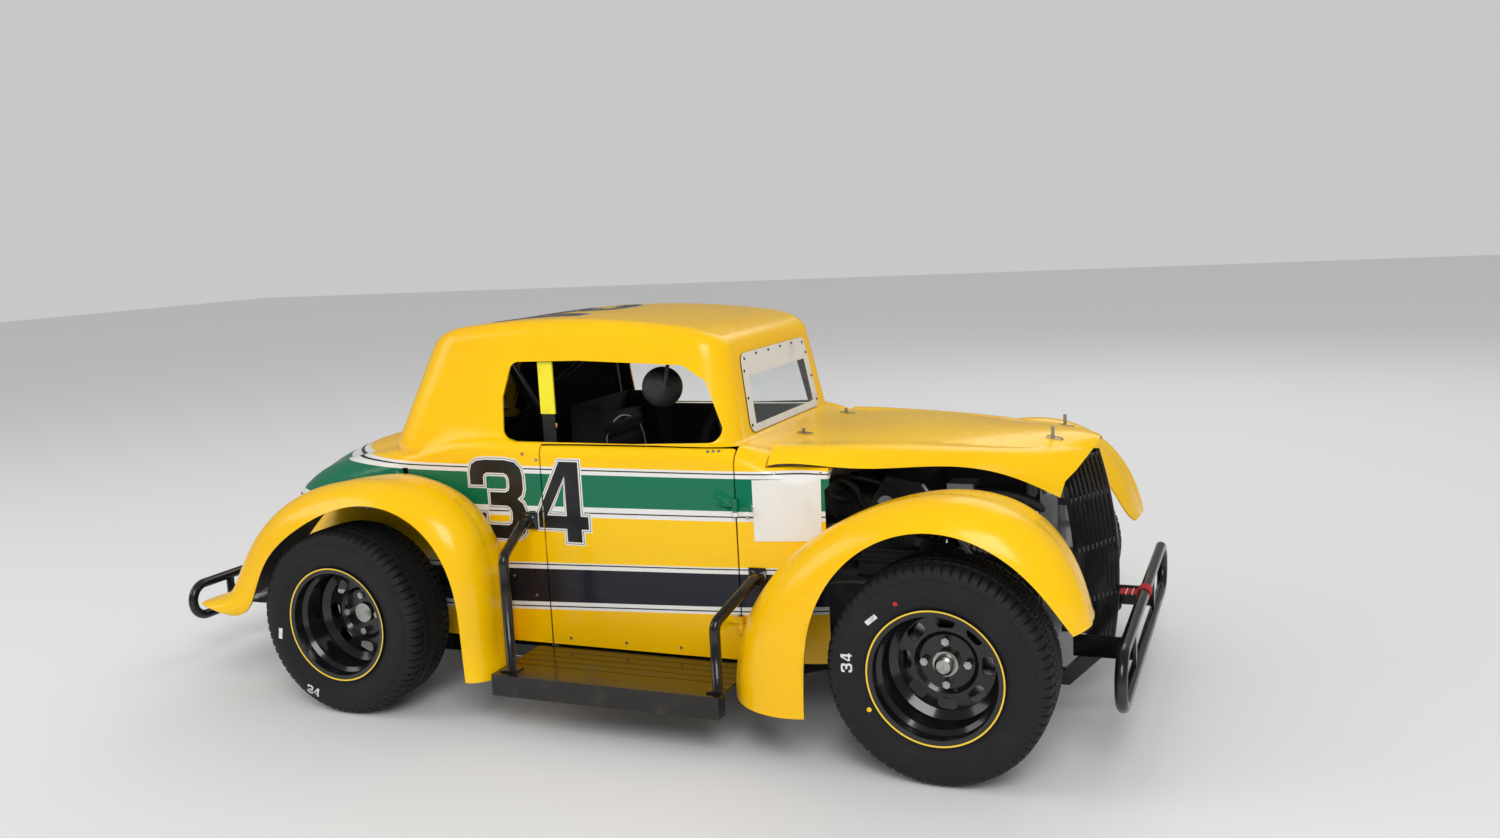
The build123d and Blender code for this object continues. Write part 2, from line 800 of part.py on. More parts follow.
# Running boards: a box rail along the outer edge and the grooved tread plate
board_top_z = 185
board_rear_x, board_front_x = -146, 568
board_outer_y, board_inner_y = 745, 476
groove_wide = 3
groove_deep = 1.5
BOARD_GROOVES = (520, 560, 600, 640)
for side, sign in SIDES:
    with BuildPart() as board:
        add(
            box(
                (board_rear_x, board_front_x),
                sorted((sign * board_outer_y, sign * board_rail_y)),
                (122, board_top_z),
            )
        )
        add(
            box(
                (board_rear_x, board_front_x),
                sorted((sign * (board_rail_y + 1), sign * board_inner_y)),
                (board_top_z - 6, board_top_z),
            )
        )
        for y in BOARD_GROOVES:
            add(
                box(
                    (board_rear_x, board_front_x),
                    sorted((sign * y, sign * (y + groove_wide))),
                    (board_top_z - groove_deep, board_top_z),
                ),
                mode=Mode.SUBTRACT,
            )
    save(board.part, f"running_board_{side}")

# Side bars: two bent tubes a side, from the body over the board, with their fixing plates
side_bar_radius = 15
side_bar_stand_off = 6
for side, sign in SIDES:
    with BuildPart() as side_bars:
        for bolt_x, bolt_z, post_x, turn_z in ((-150, 575, -104, 520), (582, 440, 548, 372)):
            skin_y = body_half(bolt_x) + side_bar_stand_off
            add(
                tube(
                    (
                        (bolt_x, sign * (skin_y + 2), bolt_z),
                        (bolt_x, sign * (skin_y + 40), bolt_z),
                        (post_x, sign * 700, turn_z),
                        (post_x, sign * 700, board_top_z + 1),
                    ),
                    side_bar_radius,
                    32,
                )
            )
            add(
                box(
                    (bolt_x - 26, bolt_x + 26),
                    sorted((sign * skin_y, sign * (skin_y + 5))),
                    (bolt_z - 26, bolt_z + 26),
                )
            )
            add(box((post_x - 24, post_x + 24), sorted((sign * 676, sign * 724)), (board_top_z, board_top_z + 5)))
    save(side_bars.part, f"side_bars_{side}")

# Bumpers: a long loop of tube across each end, on plates from the frame rails
BUMPERS = (
    ("front", car_length / 2 - bumper_radius, 590, 255, 72, front_rail_y, rail_nose_x, 1),
    ("rear", -car_length / 2 + bumper_radius, 450, 212, 56, rear_rail_y, rail_tail_x, -1),
)
bracket_plate = 8
for end, x, half, middle_z, loop_radius, arm_y, rail_end_x, ahead in BUMPERS:
    straight = half - loop_radius
    with BuildPart() as bumper:
        for z in (middle_z - loop_radius, middle_z + loop_radius):
            add(tube(((x, -straight, z), (x, straight, z)), bumper_radius))
        for sign in (-1, 1):
            with BuildSketch(Plane(origin=(x, sign * straight, middle_z), x_dir=(0, 0, 1), z_dir=(0, -sign, 0))):
                with Locations((loop_radius, 0)):
                    Circle(bumper_radius)
            revolve(axis=Axis((x, sign * straight, middle_z), (-sign, 0, 0)), revolution_arc=180)
        for sign in (-1, 1):
            y = sign * arm_y
            add(
                box(
                    (min(rail_end_x, x), max(rail_end_x, x)),
                    sorted((y + sign * rail_size / 2, y + sign * (rail_size / 2 + bracket_plate))),
                    (middle_z - 45, middle_z + 15),
                )
            )
            add(
                box(
                    (x - bracket_plate / 2, x + bracket_plate / 2),
                    sorted((y + sign * rail_size / 2, y + sign * (rail_size / 2 + 30))),
                    (middle_z - loop_radius, middle_z + loop_radius),
                )
            )
            add(
                box(
                    sorted((rail_end_x, rail_end_x - ahead * 60)),
                    sorted((y + sign * rail_size / 2, y + sign * (rail_size / 2 + bracket_plate))),
                    (middle_z - 45, middle_z + 15),
                )
            )
    save(bumper.part, f"{end}_bumper")

# Engine: crankcase, forward-leaning cylinders with fins, cam cover and four carburettors
cylinder_pitch = 84
crankcase_low_z = 190
header_z = 570
with BuildPart() as engine:
    add(box((660, 990), (-165, 165), (crankcase_low_z, 400)))
    fillet(edges().filter_by(Axis.X), 40)
    with BuildSketch(side_plane(175)):
        with BuildLine():
            Polyline((780, 380), (960, 380), (1010, 600), (990, 660), (880, 680), (840, 620), close=True)
        make_face()
    extrude(amount=350)
    for fin in range(4):
        add(
            box(
                (776 + 8 * fin, 984 + 8 * fin),
                (-184, 184),
                (425 + 32 * fin, 432 + 32 * fin),
            )
        )
    for index in range(4):
        y = (index - 1.5) * cylinder_pitch
        add(tube(((860, y, 585), (728, y, 612)), 29))
        add(box((756, 800), (y - 24, y + 24), (530, 600)))
    for x in (700, 930):
        for sign in (-1, 1):
            add(box((x, x + 40), sorted((sign * 140, sign * 240)), (rail_z + rail_size / 2, 215)))
save(engine.part, "engine")

# Exhaust: four headers down in front of the engine into one pipe under the sump
header_radius = 19
collector_radius = 26
collector_z = 148
with BuildPart() as exhaust:
    for index in range(4):
        y = (index - 1.5) * cylinder_pitch
        add(
            tube(
                (
                    (1009, y, header_z),
                    (1096, y, 525),
                    (1104, y, 330),
                    (1092, 50 + y / 5, 205),
                ),
                header_radius,
                26,
            )
        )
    add(tube(((1094, 50, 214), (1080, 50, collector_z), (700, 50, collector_z)), collector_radius, 30))
save(exhaust.part, "exhaust")

# Fuel cell in the tail, on the frame's rear crossbars
with BuildPart() as fuel_cell:
    add(box((-1190, -900), (-185, 185), (cell_low_z, 500)))
    fillet(edges().filter_by(Axis.Z), 20)
save(fuel_cell.part, "fuel_cell")

# Seat: an aluminium bucket with side plates, and its cushion
seat_y = 168
seat_half = 200
seat_sheet = 4
seat_low_z = rail_z + rail_size / 2
SEAT_SIDE = ((230, 0), (230, 150), (-40, 180), (-120, 550), (-130, 700), (-246, 700), (-258, 470), (-150, 0))
SEAT_WELL = ((400, seat_sheet), (400, 800), (-241, 800), (-253, 470), (-146, seat_sheet))
PAD_SIDE = ((226, 4.3), (226, 56), (-70, 66), (-165, 470), (-160, 660), (-238, 660), (-251, 468), (-145, 4.3))


def seat_slab(points, half):
    """A slab across the seat with the outline given as x and height above its base."""
    with BuildPart() as slab:
        with BuildSketch(side_plane(seat_y + half)):
            with BuildLine():
                Polyline(*[(x, seat_low_z + z) for x, z in points], close=True)
            make_face()
        extrude(amount=2 * half)
    return slab.part


with BuildPart() as seat:
    add(seat_slab(SEAT_SIDE, seat_half))
    add(seat_slab(SEAT_WELL, seat_half - seat_sheet), mode=Mode.SUBTRACT)
save(seat.part, "seat")

with BuildPart() as seat_pad:
    add(seat_slab(PAD_SIDE, seat_half - seat_sheet - 2))
save(seat_pad.part, "seat_pad")

# Dash panel and steering: rim, spokes and column
dash_x = 452
with BuildPart() as dash_panel:
    with BuildSketch(cross_plane(dash_x)):
        with BuildLine():
            Polyline((-370, 680), (370, 680), (370, 720), (300, 790), (-300, 790), (-370, 720), close=True)
        make_face()
    extrude(amount=4)
    for sign in (-1, 1):
        add(box((dash_x, cage_bar_x - cage_radius), sorted((sign * 330, sign * 360)), (735, 745)))
save(dash_panel.part, "dash_panel")

arm_end_x = front_axle_x - steering_arm_length
arm_half_thick = 9
rod_end_half = 8
rack_radius = 12
rack_housing_radius = 24
rack_z = steering_arm_z + arm_half_thick + pin_gap + rod_end_half
wheel_hub = Vector(215, seat_y, 750)
column_end = Vector(520, seat_y, 640)
column_dir = (wheel_hub - column_end).normalized()
column_plane = Plane(origin=wheel_hub, x_dir=(0, 1, 0), z_dir=column_dir)
steering_wheel_radius = 165
with BuildPart() as steering_wheel:
    with BuildSketch(Plane(origin=wheel_hub, x_dir=column_dir, z_dir=(0, 1, 0))):
        with Locations((0, steering_wheel_radius - 15)):
            Circle(14)
    revolve(axis=Axis(wheel_hub, column_dir))
    for turn in (90, 210, 330):
        with BuildSketch(column_plane.offset(-16)):
            with Locations((75 * cos(radians(turn)), 75 * sin(radians(turn)))):
                Rectangle(150, 26, rotation=turn)
        extrude(amount=4)
    with BuildSketch(column_plane.offset(-30)):
        Circle(34)
    extrude(amount=22)
save(steering_wheel.part, "steering_wheel")

with BuildPart() as steering_column:
    add(
        tube(
            (
                wheel_hub - column_dir * (30 + seat_gap),
                column_end,
                (firewall_x, shaft_y, shaft_firewall_z),
                (arm_end_x, shaft_y, rack_z + rack_housing_radius + 9.8),
            ),
            12,
        )
    )
save(steering_column.part, "steering_column")

# Rear axle: tubes, centre housing, its nose and the brackets for links and springs
axle_tube_radius = 36
axle_end_y = 524
link_y = 330
with BuildPart() as rear_axle:
    with BuildSketch(side_plane(axle_end_y)):
        with Locations((rear_axle_x, wheel_z)):
            Circle(axle_tube_radius)
    extrude(amount=2 * axle_end_y)
    with BuildSketch(side_plane(axle_end_y + 36)):
        with Locations((rear_axle_x, wheel_z)):
            Circle(spindle_radius)
    extrude(amount=2 * (axle_end_y + 36))
    for side, sign in SIDES:
        add(
            box(
                (shock_tower_x - 16, rear_axle_x),
                sorted((sign * 286, sign * 314)),
                (wheel_z - 26, wheel_z - 14 - seat_gap),
            )
        )
    with Locations((rear_axle_x, shaft_line_y, wheel_z)):
        Sphere(112)
    with BuildSketch(cross_plane(rear_axle_x + 40)):
        with Locations((shaft_line_y, wheel_z)):
            Circle(50)
    extrude(amount=108)
    for side, sign in SIDES:
        for z in (wheel_z - 78, wheel_z + 78):
            add(
                box(
                    (rear_axle_x - 12, rear_axle_x + 34),
                    sorted((sign * (link_y - 5), sign * (link_y + 5))),
                    sorted((wheel_z, z)),
                )
            )
save(rear_axle.part, "rear_axle")

shaft_end_gap = 1.2
with BuildPart() as drive_shaft:
    add(
        tube(
            (
                (rear_axle_x + 148 + shaft_end_gap, shaft_line_y, wheel_z),
                (430, shaft_line_y, wheel_z - 28),
                (660 - shaft_end_gap, shaft_line_y, wheel_z - 20),
            ),
            drive_shaft_radius,
        )
    )
save(drive_shaft.part, "drive_shaft")

# Rear links: two trailing links a side from the axle's brackets to the cabin crossbar
link_front_x = -560
with BuildPart() as rear_links:
    for side, sign in SIDES:
        for z, front_z in ((wheel_z - 66, 192), (wheel_z + 66, 330)):
            y = sign * (link_y + 5 + 13)
            add(tube(((rear_axle_x + 14, y, z), (link_front_x, y, front_z)), 11))
            for x, at_z in ((rear_axle_x + 14, z), (link_front_x, front_z)):
                with BuildSketch(side_plane(y + 12.5)):
                    with Locations((x, at_z)):
                        Circle(19)
                extrude(amount=25)
        add(
            box(
                (link_front_x - 20, link_front_x + 20),
                sorted((sign * (link_y - 2), sign * (link_y + 5))),
                (rail_z + rail_size / 2, 352),
            )
        )
save(rear_links.part, "rear_links")

# Front arms: a lower and an upper wishbone each side, with the sockets for the king pin
boss_radius = 20
for side, sign in SIDES:
    with BuildPart() as arms:
        for z, inner_y, inner_z, spread in (
            (lower_ball_z, front_rail_y + 25, rail_z + 12, 120),
            (upper_ball_z, upper_rail_y + 17, upper_arm_rail_z, 85),
        ):
            for reach in (-spread, spread):
                add(
                    tube(
                        (
                            (front_axle_x + reach, sign * inner_y, inner_z),
                            (front_axle_x, sign * kingpin_y, z),
                        ),
                        11,
                    )
                )
            with BuildSketch(Plane.XY.offset(z - 13)):
                with Locations((front_axle_x, sign * kingpin_y)):
                    Circle(boss_radius)
            extrude(amount=26)
        add(
            box(
                (front_axle_x - 76, front_axle_x + 76),
                sorted((sign * 342, sign * 378)),
                (164, 180),
            )
        )
        with BuildSketch(Plane.XY.offset(lower_ball_z - 20)):
            with Locations((front_axle_x, sign * kingpin_y)):
                Circle(ball_pin_radius + running_gap)
        extrude(amount=upper_ball_z - lower_ball_z + 40, mode=Mode.SUBTRACT)
    save(arms.part, f"front_arms_{side}")

# Knuckles: king pin between the arms' sockets, spindle, steering arm and brake caliper
knuckle_low = lower_ball_z + 13 + pin_gap
knuckle_high = upper_ball_z - 13 - pin_gap
caliper_y = 556
for side, sign in SIDES:
    with BuildPart() as knuckle:
        with BuildSketch(Plane.XY.offset(knuckle_low)):
            with Locations((front_axle_x, sign * kingpin_y)):
                Circle(kingpin_radius + 4)
        extrude(amount=knuckle_high - knuckle_low)
        with BuildSketch(Plane.XY.offset(lower_ball_z - 11)):
            with Locations((front_axle_x, sign * kingpin_y)):
                Circle(ball_pin_radius)
        extrude(amount=upper_ball_z - lower_ball_z + 22)
        add(
            tube(
                ((front_axle_x, sign * kingpin_y, wheel_z), (front_axle_x, sign * 622, wheel_z)),
                spindle_radius,
            )
        )
        add(
            rail(
                (
                    (front_axle_x, sign * kingpin_y, steering_arm_z),
                    (arm_end_x, sign * (kingpin_y - 14), steering_arm_z),
                ),
                18,
            )
        )
        with BuildSketch(Plane.XY.offset(steering_arm_z - 9)):
            with Locations((arm_end_x, sign * (kingpin_y - 14))):
                Circle(15)
        extrude(amount=18)
        add(
            box(
                (front_axle_x - 130, front_axle_x - 8),
                sorted((sign * (kingpin_y + 12), sign * (kingpin_y + 22))),
                (wheel_z - 30, wheel_z + 30),
            )
        )
        add(
            box(
                (front_axle_x - 130, front_axle_x - 84),
                sorted((sign * (kingpin_y + 12), sign * (caliper_y - 9))),
                (wheel_z - 42, wheel_z + 42),
            )
        )
        add(
            box(
                (front_axle_x - 134, front_axle_x - 122),
                sorted((sign * (kingpin_y + 12), sign * (caliper_y + 30))),
                (wheel_z - 42, wheel_z + 42),
            )
        )
    save(knuckle.part, f"knuckle_{side}")

# Steering rack: the housing on the frame, and the bar with its tie rods that slides in it
rack_left_y, rack_right_y = 266, -190
rack_bar_half = 312
with BuildPart() as rack_housing:
    with BuildSketch(side_plane(rack_left_y)):
        with Locations((arm_end_x, rack_z)):
            Circle(rack_housing_radius)
            Circle(rack_radius + running_gap, mode=Mode.SUBTRACT)
    extrude(amount=rack_left_y - rack_right_y)
    for sign, inner in ((-1, 180), (1, 190)):
        add(
            box(
                (1012.5 + seat_gap, arm_end_x - rack_radius - 2),
                sorted((sign * inner, sign * 216)),
                (rack_z - 14, rack_z + 14),
            )
        )
save(rack_housing.part, "rack_housing")

with BuildPart() as rack_bar:
    with BuildSketch(side_plane(rack_bar_half)):
        with Locations((arm_end_x, rack_z)):
            Circle(rack_radius)
    extrude(amount=2 * rack_bar_half)
    for side, sign in SIDES:
        add(tube(((arm_end_x, sign * 300, rack_z), (arm_end_x, sign * (kingpin_y - 14), rack_z)), 7))
        with BuildSketch(Plane.XY.offset(rack_z - rod_end_half)):
            with Locations((arm_end_x, sign * (kingpin_y - 14))):
                Circle(15)
        extrude(amount=16)
save(rack_bar.part, "rack_bar")

# Spring units: coil-over shock absorbers, front and rear
SPRINGS = (
    ("front", front_axle_x, 360, 185.5, 236, 450, front_axle_x),
    ("rear", shock_tower_x, 300, wheel_z - 14, 300, 627, shock_tower_x),
)
spring_radius = 34
with BuildPart() as coilovers:
    for end, x, low_y, low_z, high_y, high_z, top_x in SPRINGS:
        for side, sign in SIDES:
            low = Vector(x, sign * low_y, low_z)
            high = Vector(top_x, sign * high_y, high_z)
            along = (high - low).normalized()
            add(tube((low, high), 11))
            add(tube((low + along * 70, high - along * 40), spring_radius))
save(coilovers.part, "coilovers")

# Interior mirror: a round dish clamped to the front cage tube on the right
with BuildPart() as interior_mirror:
    with BuildSketch(Plane(origin=(236, -300, 958), z_dir=(-0.8, 0.55, 0))):
        Circle(98)
    extrude(amount=14)
    add(tube(((236, -300, 958), (262, -318, 1000), (279, -330, 1076.2)), 9))
save(interior_mirror.part, "interior_mirror")

# Tow strap round the middle of the front bumper
strap_wide = 50
strap_sheet = 3
strap_x, strap_z = car_length / 2 - bumper_radius, 255 + 72
with BuildPart() as tow_strap:
    with BuildSketch(side_plane(strap_wide / 2)):
        with Locations((strap_x, strap_z)):
            Circle(bumper_radius + running_gap + strap_sheet)
            Circle(bumper_radius + running_gap, mode=Mode.SUBTRACT)
    extrude(amount=strap_wide)
    add(
        box(
            (1516, strap_x - bumper_radius - 2),
            (-strap_wide / 2, strap_wide / 2),
            (strap_z - strap_sheet, strap_z),
        )
    )
save(tow_strap.part, "tow_strap")

# Wheels: tyre, pressed-steel rim with its windows, and hub with disc, studs and cap
RIM_BARREL = (
    (739, 178), (733, 178), (732, 164), (704, 163), (694, 152), (596, 152), (572, 163),
    (547, 164), (546, 178), (541, 178), (541, 160), (573, 159), (597, 148), (693, 148),
    (704, 159), (736, 160),
)
RIM_DISC = ((597, 34), (602, 34), (602, 72), (612, 84), (612, 128), (628, 150), (620, 150), (606, 131), (606, 88), (597, 77))
TYRE_HALF = ((0, 288), (78, 286), (96, 272), (102.5, 232), (94, 186), (90, 178.5))
WHEELS = (
    ("front_right", front_axle_x, -1),
    ("front_left", front_axle_x, 1),
    ("rear_right", rear_axle_x, -1),
    ("rear_left", rear_axle_x, 1),
)


def wheel_plane(axle_x, sign):
    """A plane through a wheel's axis: outward distance from the car's middle, and radius."""
    return Plane(origin=(axle_x, 0, wheel_z), x_dir=(0, sign, 0), z_dir=(sign, 0, 0))


def spin_axis(axle_x):
    """The axis that a wheel turns about."""
    return Axis((axle_x, 0, wheel_z), (0, 1, 0))


for wheel, axle_x, sign in WHEELS:
    with BuildPart() as tyre:
        with BuildSketch(wheel_plane(axle_x, sign)):
            with BuildLine():
                outer = [(tyre_centre_y + u, r) for u, r in TYRE_HALF]
                inner = [(tyre_centre_y - u, r) for u, r in reversed(TYRE_HALF[1:])]
                bead = [(tyre_centre_y - 90, bead_radius), (tyre_centre_y + 90, bead_radius)]
                Polyline(*outer, bead[1], bead[0], *inner, close=True)
            make_face()
        revolve(axis=spin_axis(axle_x))
    save(tyre.part, f"tyre_{wheel}")

    with BuildPart() as rim:
        with BuildSketch(wheel_plane(axle_x, sign)):
            with BuildLine():
                Polyline(*RIM_BARREL, close=True)
            make_face()
            with BuildLine():
                Polyline(*RIM_DISC, close=True)
            make_face()
        revolve(axis=spin_axis(axle_x))
        with BuildSketch(Plane(origin=(axle_x, sign * 590, wheel_z), x_dir=(1, 0, 0), z_dir=(0, sign, 0))):
            with PolarLocations(109, rim_window_count):
                RectangleRounded(34, 50, 14)
            with PolarLocations(stud_circle_radius, stud_count):
                Circle(stud_hole_radius)
        extrude(amount=26, mode=Mode.SUBTRACT)
    save(rim.part, f"rim_{wheel}")

    is_front = axle_x == front_axle_x
    bore = spindle_radius + running_gap if is_front else 0
    with BuildPart() as hub:
        with BuildSketch(wheel_plane(axle_x, sign)):
            with BuildLine():
                if is_front:
                    Polyline(
                        (540, bore), (623, bore), (623, 0), (648, 0), (646, 18), (640, 25),
                        (622, 27), (622, 33), (597, 33), (597, 70), (588, 70), (588, 60),
                        (561, 60), (561, 118), (551, 118), (551, 50), (540, 50), close=True,
                    )
                else:
                    Polyline(
                        (530, spindle_radius + running_gap), (562, spindle_radius + running_gap),
                        (562, 0), (612, 0), (612, 30), (597, 33), (597, 70), (588, 70),
                        (588, 60), (561, 60), (561, 118), (551, 118), (551, 50), (530, 50),
                        close=True,
                    )
            make_face()
        revolve(axis=spin_axis(axle_x))
        with BuildSketch(Plane(origin=(axle_x, sign * 590, wheel_z), x_dir=(1, 0, 0), z_dir=(0, sign, 0))):
            with PolarLocations(stud_circle_radius, stud_count):
                Circle(stud_radius)
        extrude(amount=32)
        with BuildSketch(Plane(origin=(axle_x, sign * 602, wheel_z), x_dir=(1, 0, 0), z_dir=(0, sign, 0))):
            with PolarLocations(stud_circle_radius, stud_count):
                RegularPolygon(11, 6)
        extrude(amount=18)
    save(hub.part, f"hub_{wheel}")
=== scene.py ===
import json
import math

import bmesh
import bpy
from mathutils import Matrix, Vector
from mathutils.bvhtree import BVHTree


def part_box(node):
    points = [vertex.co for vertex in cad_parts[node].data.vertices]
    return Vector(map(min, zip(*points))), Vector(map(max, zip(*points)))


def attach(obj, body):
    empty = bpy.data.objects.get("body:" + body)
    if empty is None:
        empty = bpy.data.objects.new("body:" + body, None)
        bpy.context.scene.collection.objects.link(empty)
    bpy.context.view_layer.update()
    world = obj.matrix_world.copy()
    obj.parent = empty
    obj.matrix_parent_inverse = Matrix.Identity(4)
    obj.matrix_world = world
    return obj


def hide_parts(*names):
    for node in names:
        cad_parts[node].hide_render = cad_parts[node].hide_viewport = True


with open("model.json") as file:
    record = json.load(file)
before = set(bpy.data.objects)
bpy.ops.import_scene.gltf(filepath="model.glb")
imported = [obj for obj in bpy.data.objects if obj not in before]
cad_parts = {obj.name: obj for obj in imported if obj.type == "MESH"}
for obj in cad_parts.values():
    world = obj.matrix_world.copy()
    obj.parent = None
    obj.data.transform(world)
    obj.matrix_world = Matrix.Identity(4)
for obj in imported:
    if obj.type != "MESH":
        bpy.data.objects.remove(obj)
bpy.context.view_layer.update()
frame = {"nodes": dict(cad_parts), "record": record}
nodes = frame["nodes"]

# The view: the car stands in the open and is seen by a standing person from ahead of its right
# side, through a short lens, with the camera leaning a little to one side.
view_azimuth = math.radians(22.9624)
view_height = math.radians(8.4295)
view_lean = math.radians(-2.9354)
view_place = Vector((1.93419, -3.65479, 1.40400))
view_lens = 30.352


def placed(name, data):
    """An object of some data, put into the scene."""
    made = bpy.data.objects.new(name, data)
    bpy.context.scene.collection.objects.link(made)
    return made


back = Vector(
    (
        math.sin(view_azimuth) * math.cos(view_height),
        -math.cos(view_azimuth) * math.cos(view_height),
        math.sin(view_height),
    )
)
level_right = Vector((0, 0, 1)).cross(back).normalized()
level_up = back.cross(level_right)
right = math.cos(view_lean) * level_right + math.sin(view_lean) * level_up
up = math.cos(view_lean) * level_up - math.sin(view_lean) * level_right
camera_data = bpy.data.cameras.new("photo_view")
camera_data.lens = view_lens
camera_data.sensor_width = 36
camera = placed("photo_view", camera_data)
view_turn = Matrix((right, up, back)).transposed().to_4x4()
camera.matrix_world = Matrix.Translation(view_place) @ view_turn
bpy.context.scene.camera = camera
bpy.context.scene.view_settings.view_transform = "Standard"

# The studio: a pale matt floor, a pale surround, and three large soft lamps, the strongest of
# them above and behind the camera.
floor_half = 30
floor_grey = 0.80
surround_grey = 0.58
surround_light = 0.60
surround_gloss = 0.22
lamp_aim = Vector((0, 0, 0.4))
LAMPS = (
    ("key", (3.5, -6.5, 6.0), 4.0, 330),
    ("side", (-6.5, -3.5, 4.5), 4.0, 110),
    ("far", (1.5, 6.5, 6.5), 5.0, 120),
)

floor_mesh = bpy.data.meshes.new("studio_floor")
floor_shape = bmesh.new()
bmesh.ops.create_grid(floor_shape, x_segments=1, y_segments=1, size=floor_half)
floor_shape.to_mesh(floor_mesh)
floor_shape.free()
floor = placed("studio_floor", floor_mesh)
floor_finish = bpy.data.materials.new("studio_floor")
floor_finish.use_nodes = True
floor_shader = floor_finish.node_tree.nodes["Principled BSDF"]
floor_shader.inputs["Base Color"].default_value = (floor_grey, floor_grey, floor_grey, 1)
floor_shader.inputs["Roughness"].default_value = 0.9
floor_mesh.materials.append(floor_finish)

for lamp_name, lamp_place, lamp_size, lamp_power in LAMPS:
    lamp_data = bpy.data.lights.new("lamp_" + lamp_name, "AREA")
    lamp_data.size = lamp_size
    lamp_data.energy = lamp_power
    lamp = placed("lamp_" + lamp_name, lamp_data)
    aim = lamp_aim - Vector(lamp_place)
    lamp.rotation_euler = aim.to_track_quat("-Z", "Y").to_euler()
    lamp.location = lamp_place

surround = bpy.data.worlds.new("surround")
bpy.context.scene.world = surround
surround.use_nodes = True
surround_tree = surround.node_tree
surround_ray = surround_tree.nodes.new("ShaderNodeLightPath")
surround_light_node = surround_tree.nodes["Background"]
surround_light_node.inputs["Color"].default_value = (1, 1, 1, 1)
surround_light_node.inputs["Strength"].default_value = surround_light
surround_shown = surround_light_node.outputs[0]
for kind, grey in (
    ("Is Glossy Ray", surround_gloss),
    ("Is Transmission Ray", surround_grey),
    ("Is Camera Ray", surround_grey),
):
    surround_seen = surround_tree.nodes.new("ShaderNodeBackground")
    surround_seen.inputs["Color"].default_value = (grey, grey, grey, 1)
    surround_mix = surround_tree.nodes.new("ShaderNodeMixShader")
    surround_tree.links.new(surround_ray.outputs[kind], surround_mix.inputs["Fac"])
    surround_tree.links.new(surround_shown, surround_mix.inputs[1])
    surround_tree.links.new(surround_seen.outputs[0], surround_mix.inputs[2])
    surround_shown = surround_mix.outputs[0]
surround_tree.links.new(surround_shown, surround_tree.nodes["World Output"].inputs["Surface"])

# Tube frame, cage, bumpers, side bars and arms: welded steel tube in gloss black enamel, which
# is scuffed through to a duller grey here and there where boots and tyres have rubbed it.
enamel_black = (0.008, 0.008, 0.009)
scuff_grey = (0.022, 0.021, 0.02)


def new_finish(name, colour, roughness, metallic=0.0, coat=0.0, shine=0.5):
    """A material with its shader, node tree and one set of object coordinates."""
    material = bpy.data.materials.new(name)
    material.use_nodes = True
    tree = material.node_tree
    shader = tree.nodes["Principled BSDF"]
    shader.inputs["Base Color"].default_value = (*colour, 1)
    shader.inputs["Roughness"].default_value = roughness
    shader.inputs["Metallic"].default_value = metallic
    shader.inputs["Coat Weight"].default_value = coat
    shader.inputs["Specular IOR Level"].default_value = shine
    shader.inputs["Coat Roughness"].default_value = 0.05
    place = tree.nodes.new("ShaderNodeTexCoord")
    return material, tree, shader, place.outputs["Object"]


def cloud(tree, place, scale, low, high, detail=4.0):
    """A soft noise that runs from 0 to 1 between two levels of the noise."""
    noise = tree.nodes.new("ShaderNodeTexNoise")
    noise.inputs["Scale"].default_value = scale
    noise.inputs["Detail"].default_value = detail
    tree.links.new(place, noise.inputs["Vector"])
    level = tree.nodes.new("ShaderNodeMapRange")
    level.inputs["From Min"].default_value = low
    level.inputs["From Max"].default_value = high
    tree.links.new(noise.outputs["Fac"], level.inputs["Value"])
    return level.outputs["Result"]


def between(tree, share, first, second):
    """A colour between two, each a colour or a socket, by a share from 0 to 1."""
    mix = tree.nodes.new("ShaderNodeMix")
    mix.data_type = "RGBA"
    tree.links.new(share, mix.inputs["Factor"])
    for socket, colour in ((mix.inputs["A"], first), (mix.inputs["B"], second)):
        if isinstance(colour, tuple):
            socket.default_value = (*colour, 1)
        else:
            tree.links.new(colour, socket)
    return mix.outputs["Result"]


def spread(tree, share, low, high):
    """A number between two by a share from 0 to 1."""
    level = tree.nodes.new("ShaderNodeMapRange")
    level.inputs["To Min"].default_value = low
    level.inputs["To Max"].default_value = high
    tree.links.new(share, level.inputs["Value"])
    return level.outputs["Result"]


def roughen(tree, shader, height, strength, distance):
    """Bumps in a surface from a height between 0 and 1."""
    bump = tree.nodes.new("ShaderNodeBump")
    bump.inputs["Strength"].default_value = strength
    bump.inputs["Distance"].default_value = distance
    tree.links.new(height, bump.inputs["Height"])
    tree.links.new(bump.outputs["Normal"], shader.inputs["Normal"])


def dress(material, *names):
    """The CAD nodes of these names take a material."""
    for name in names:
        nodes[name].data.materials.clear()
        nodes[name].data.materials.append(material)


# Clouds of a second colour: wear on most finishes, painted reflection on the boards and dash
cloud_from, cloud_to = 0.52, 0.72
cloud_dulls = 0.22
grain_finer = 24


def metal_or_paint(
    name, colour, cloud_colour, roughness, scale, grain, metallic=0.0, coat=0.0, shine=0.5
):
    """A finish with clouds of a second colour, and a fine grain; on the boards, painted
    reflection.
    """
    material, tree, shader, place = new_finish(name, colour, roughness, metallic, coat, shine)
    clouding = cloud(tree, place, scale, cloud_from, cloud_to, 8.0)
    tree.links.new(between(tree, clouding, colour, cloud_colour), shader.inputs["Base Color"])
    dull = spread(tree, clouding, roughness, min(1.0, roughness + cloud_dulls))
    tree.links.new(dull, shader.inputs["Roughness"])
    roughen(tree, shader, cloud(tree, place, scale * grain_finer, 0.3, 0.7), 0.35, grain)
    return material


bodies = frame["record"]["behaviour"]["bodies"]
carrier_of = {name: body for body, names in bodies.items() for name in names}


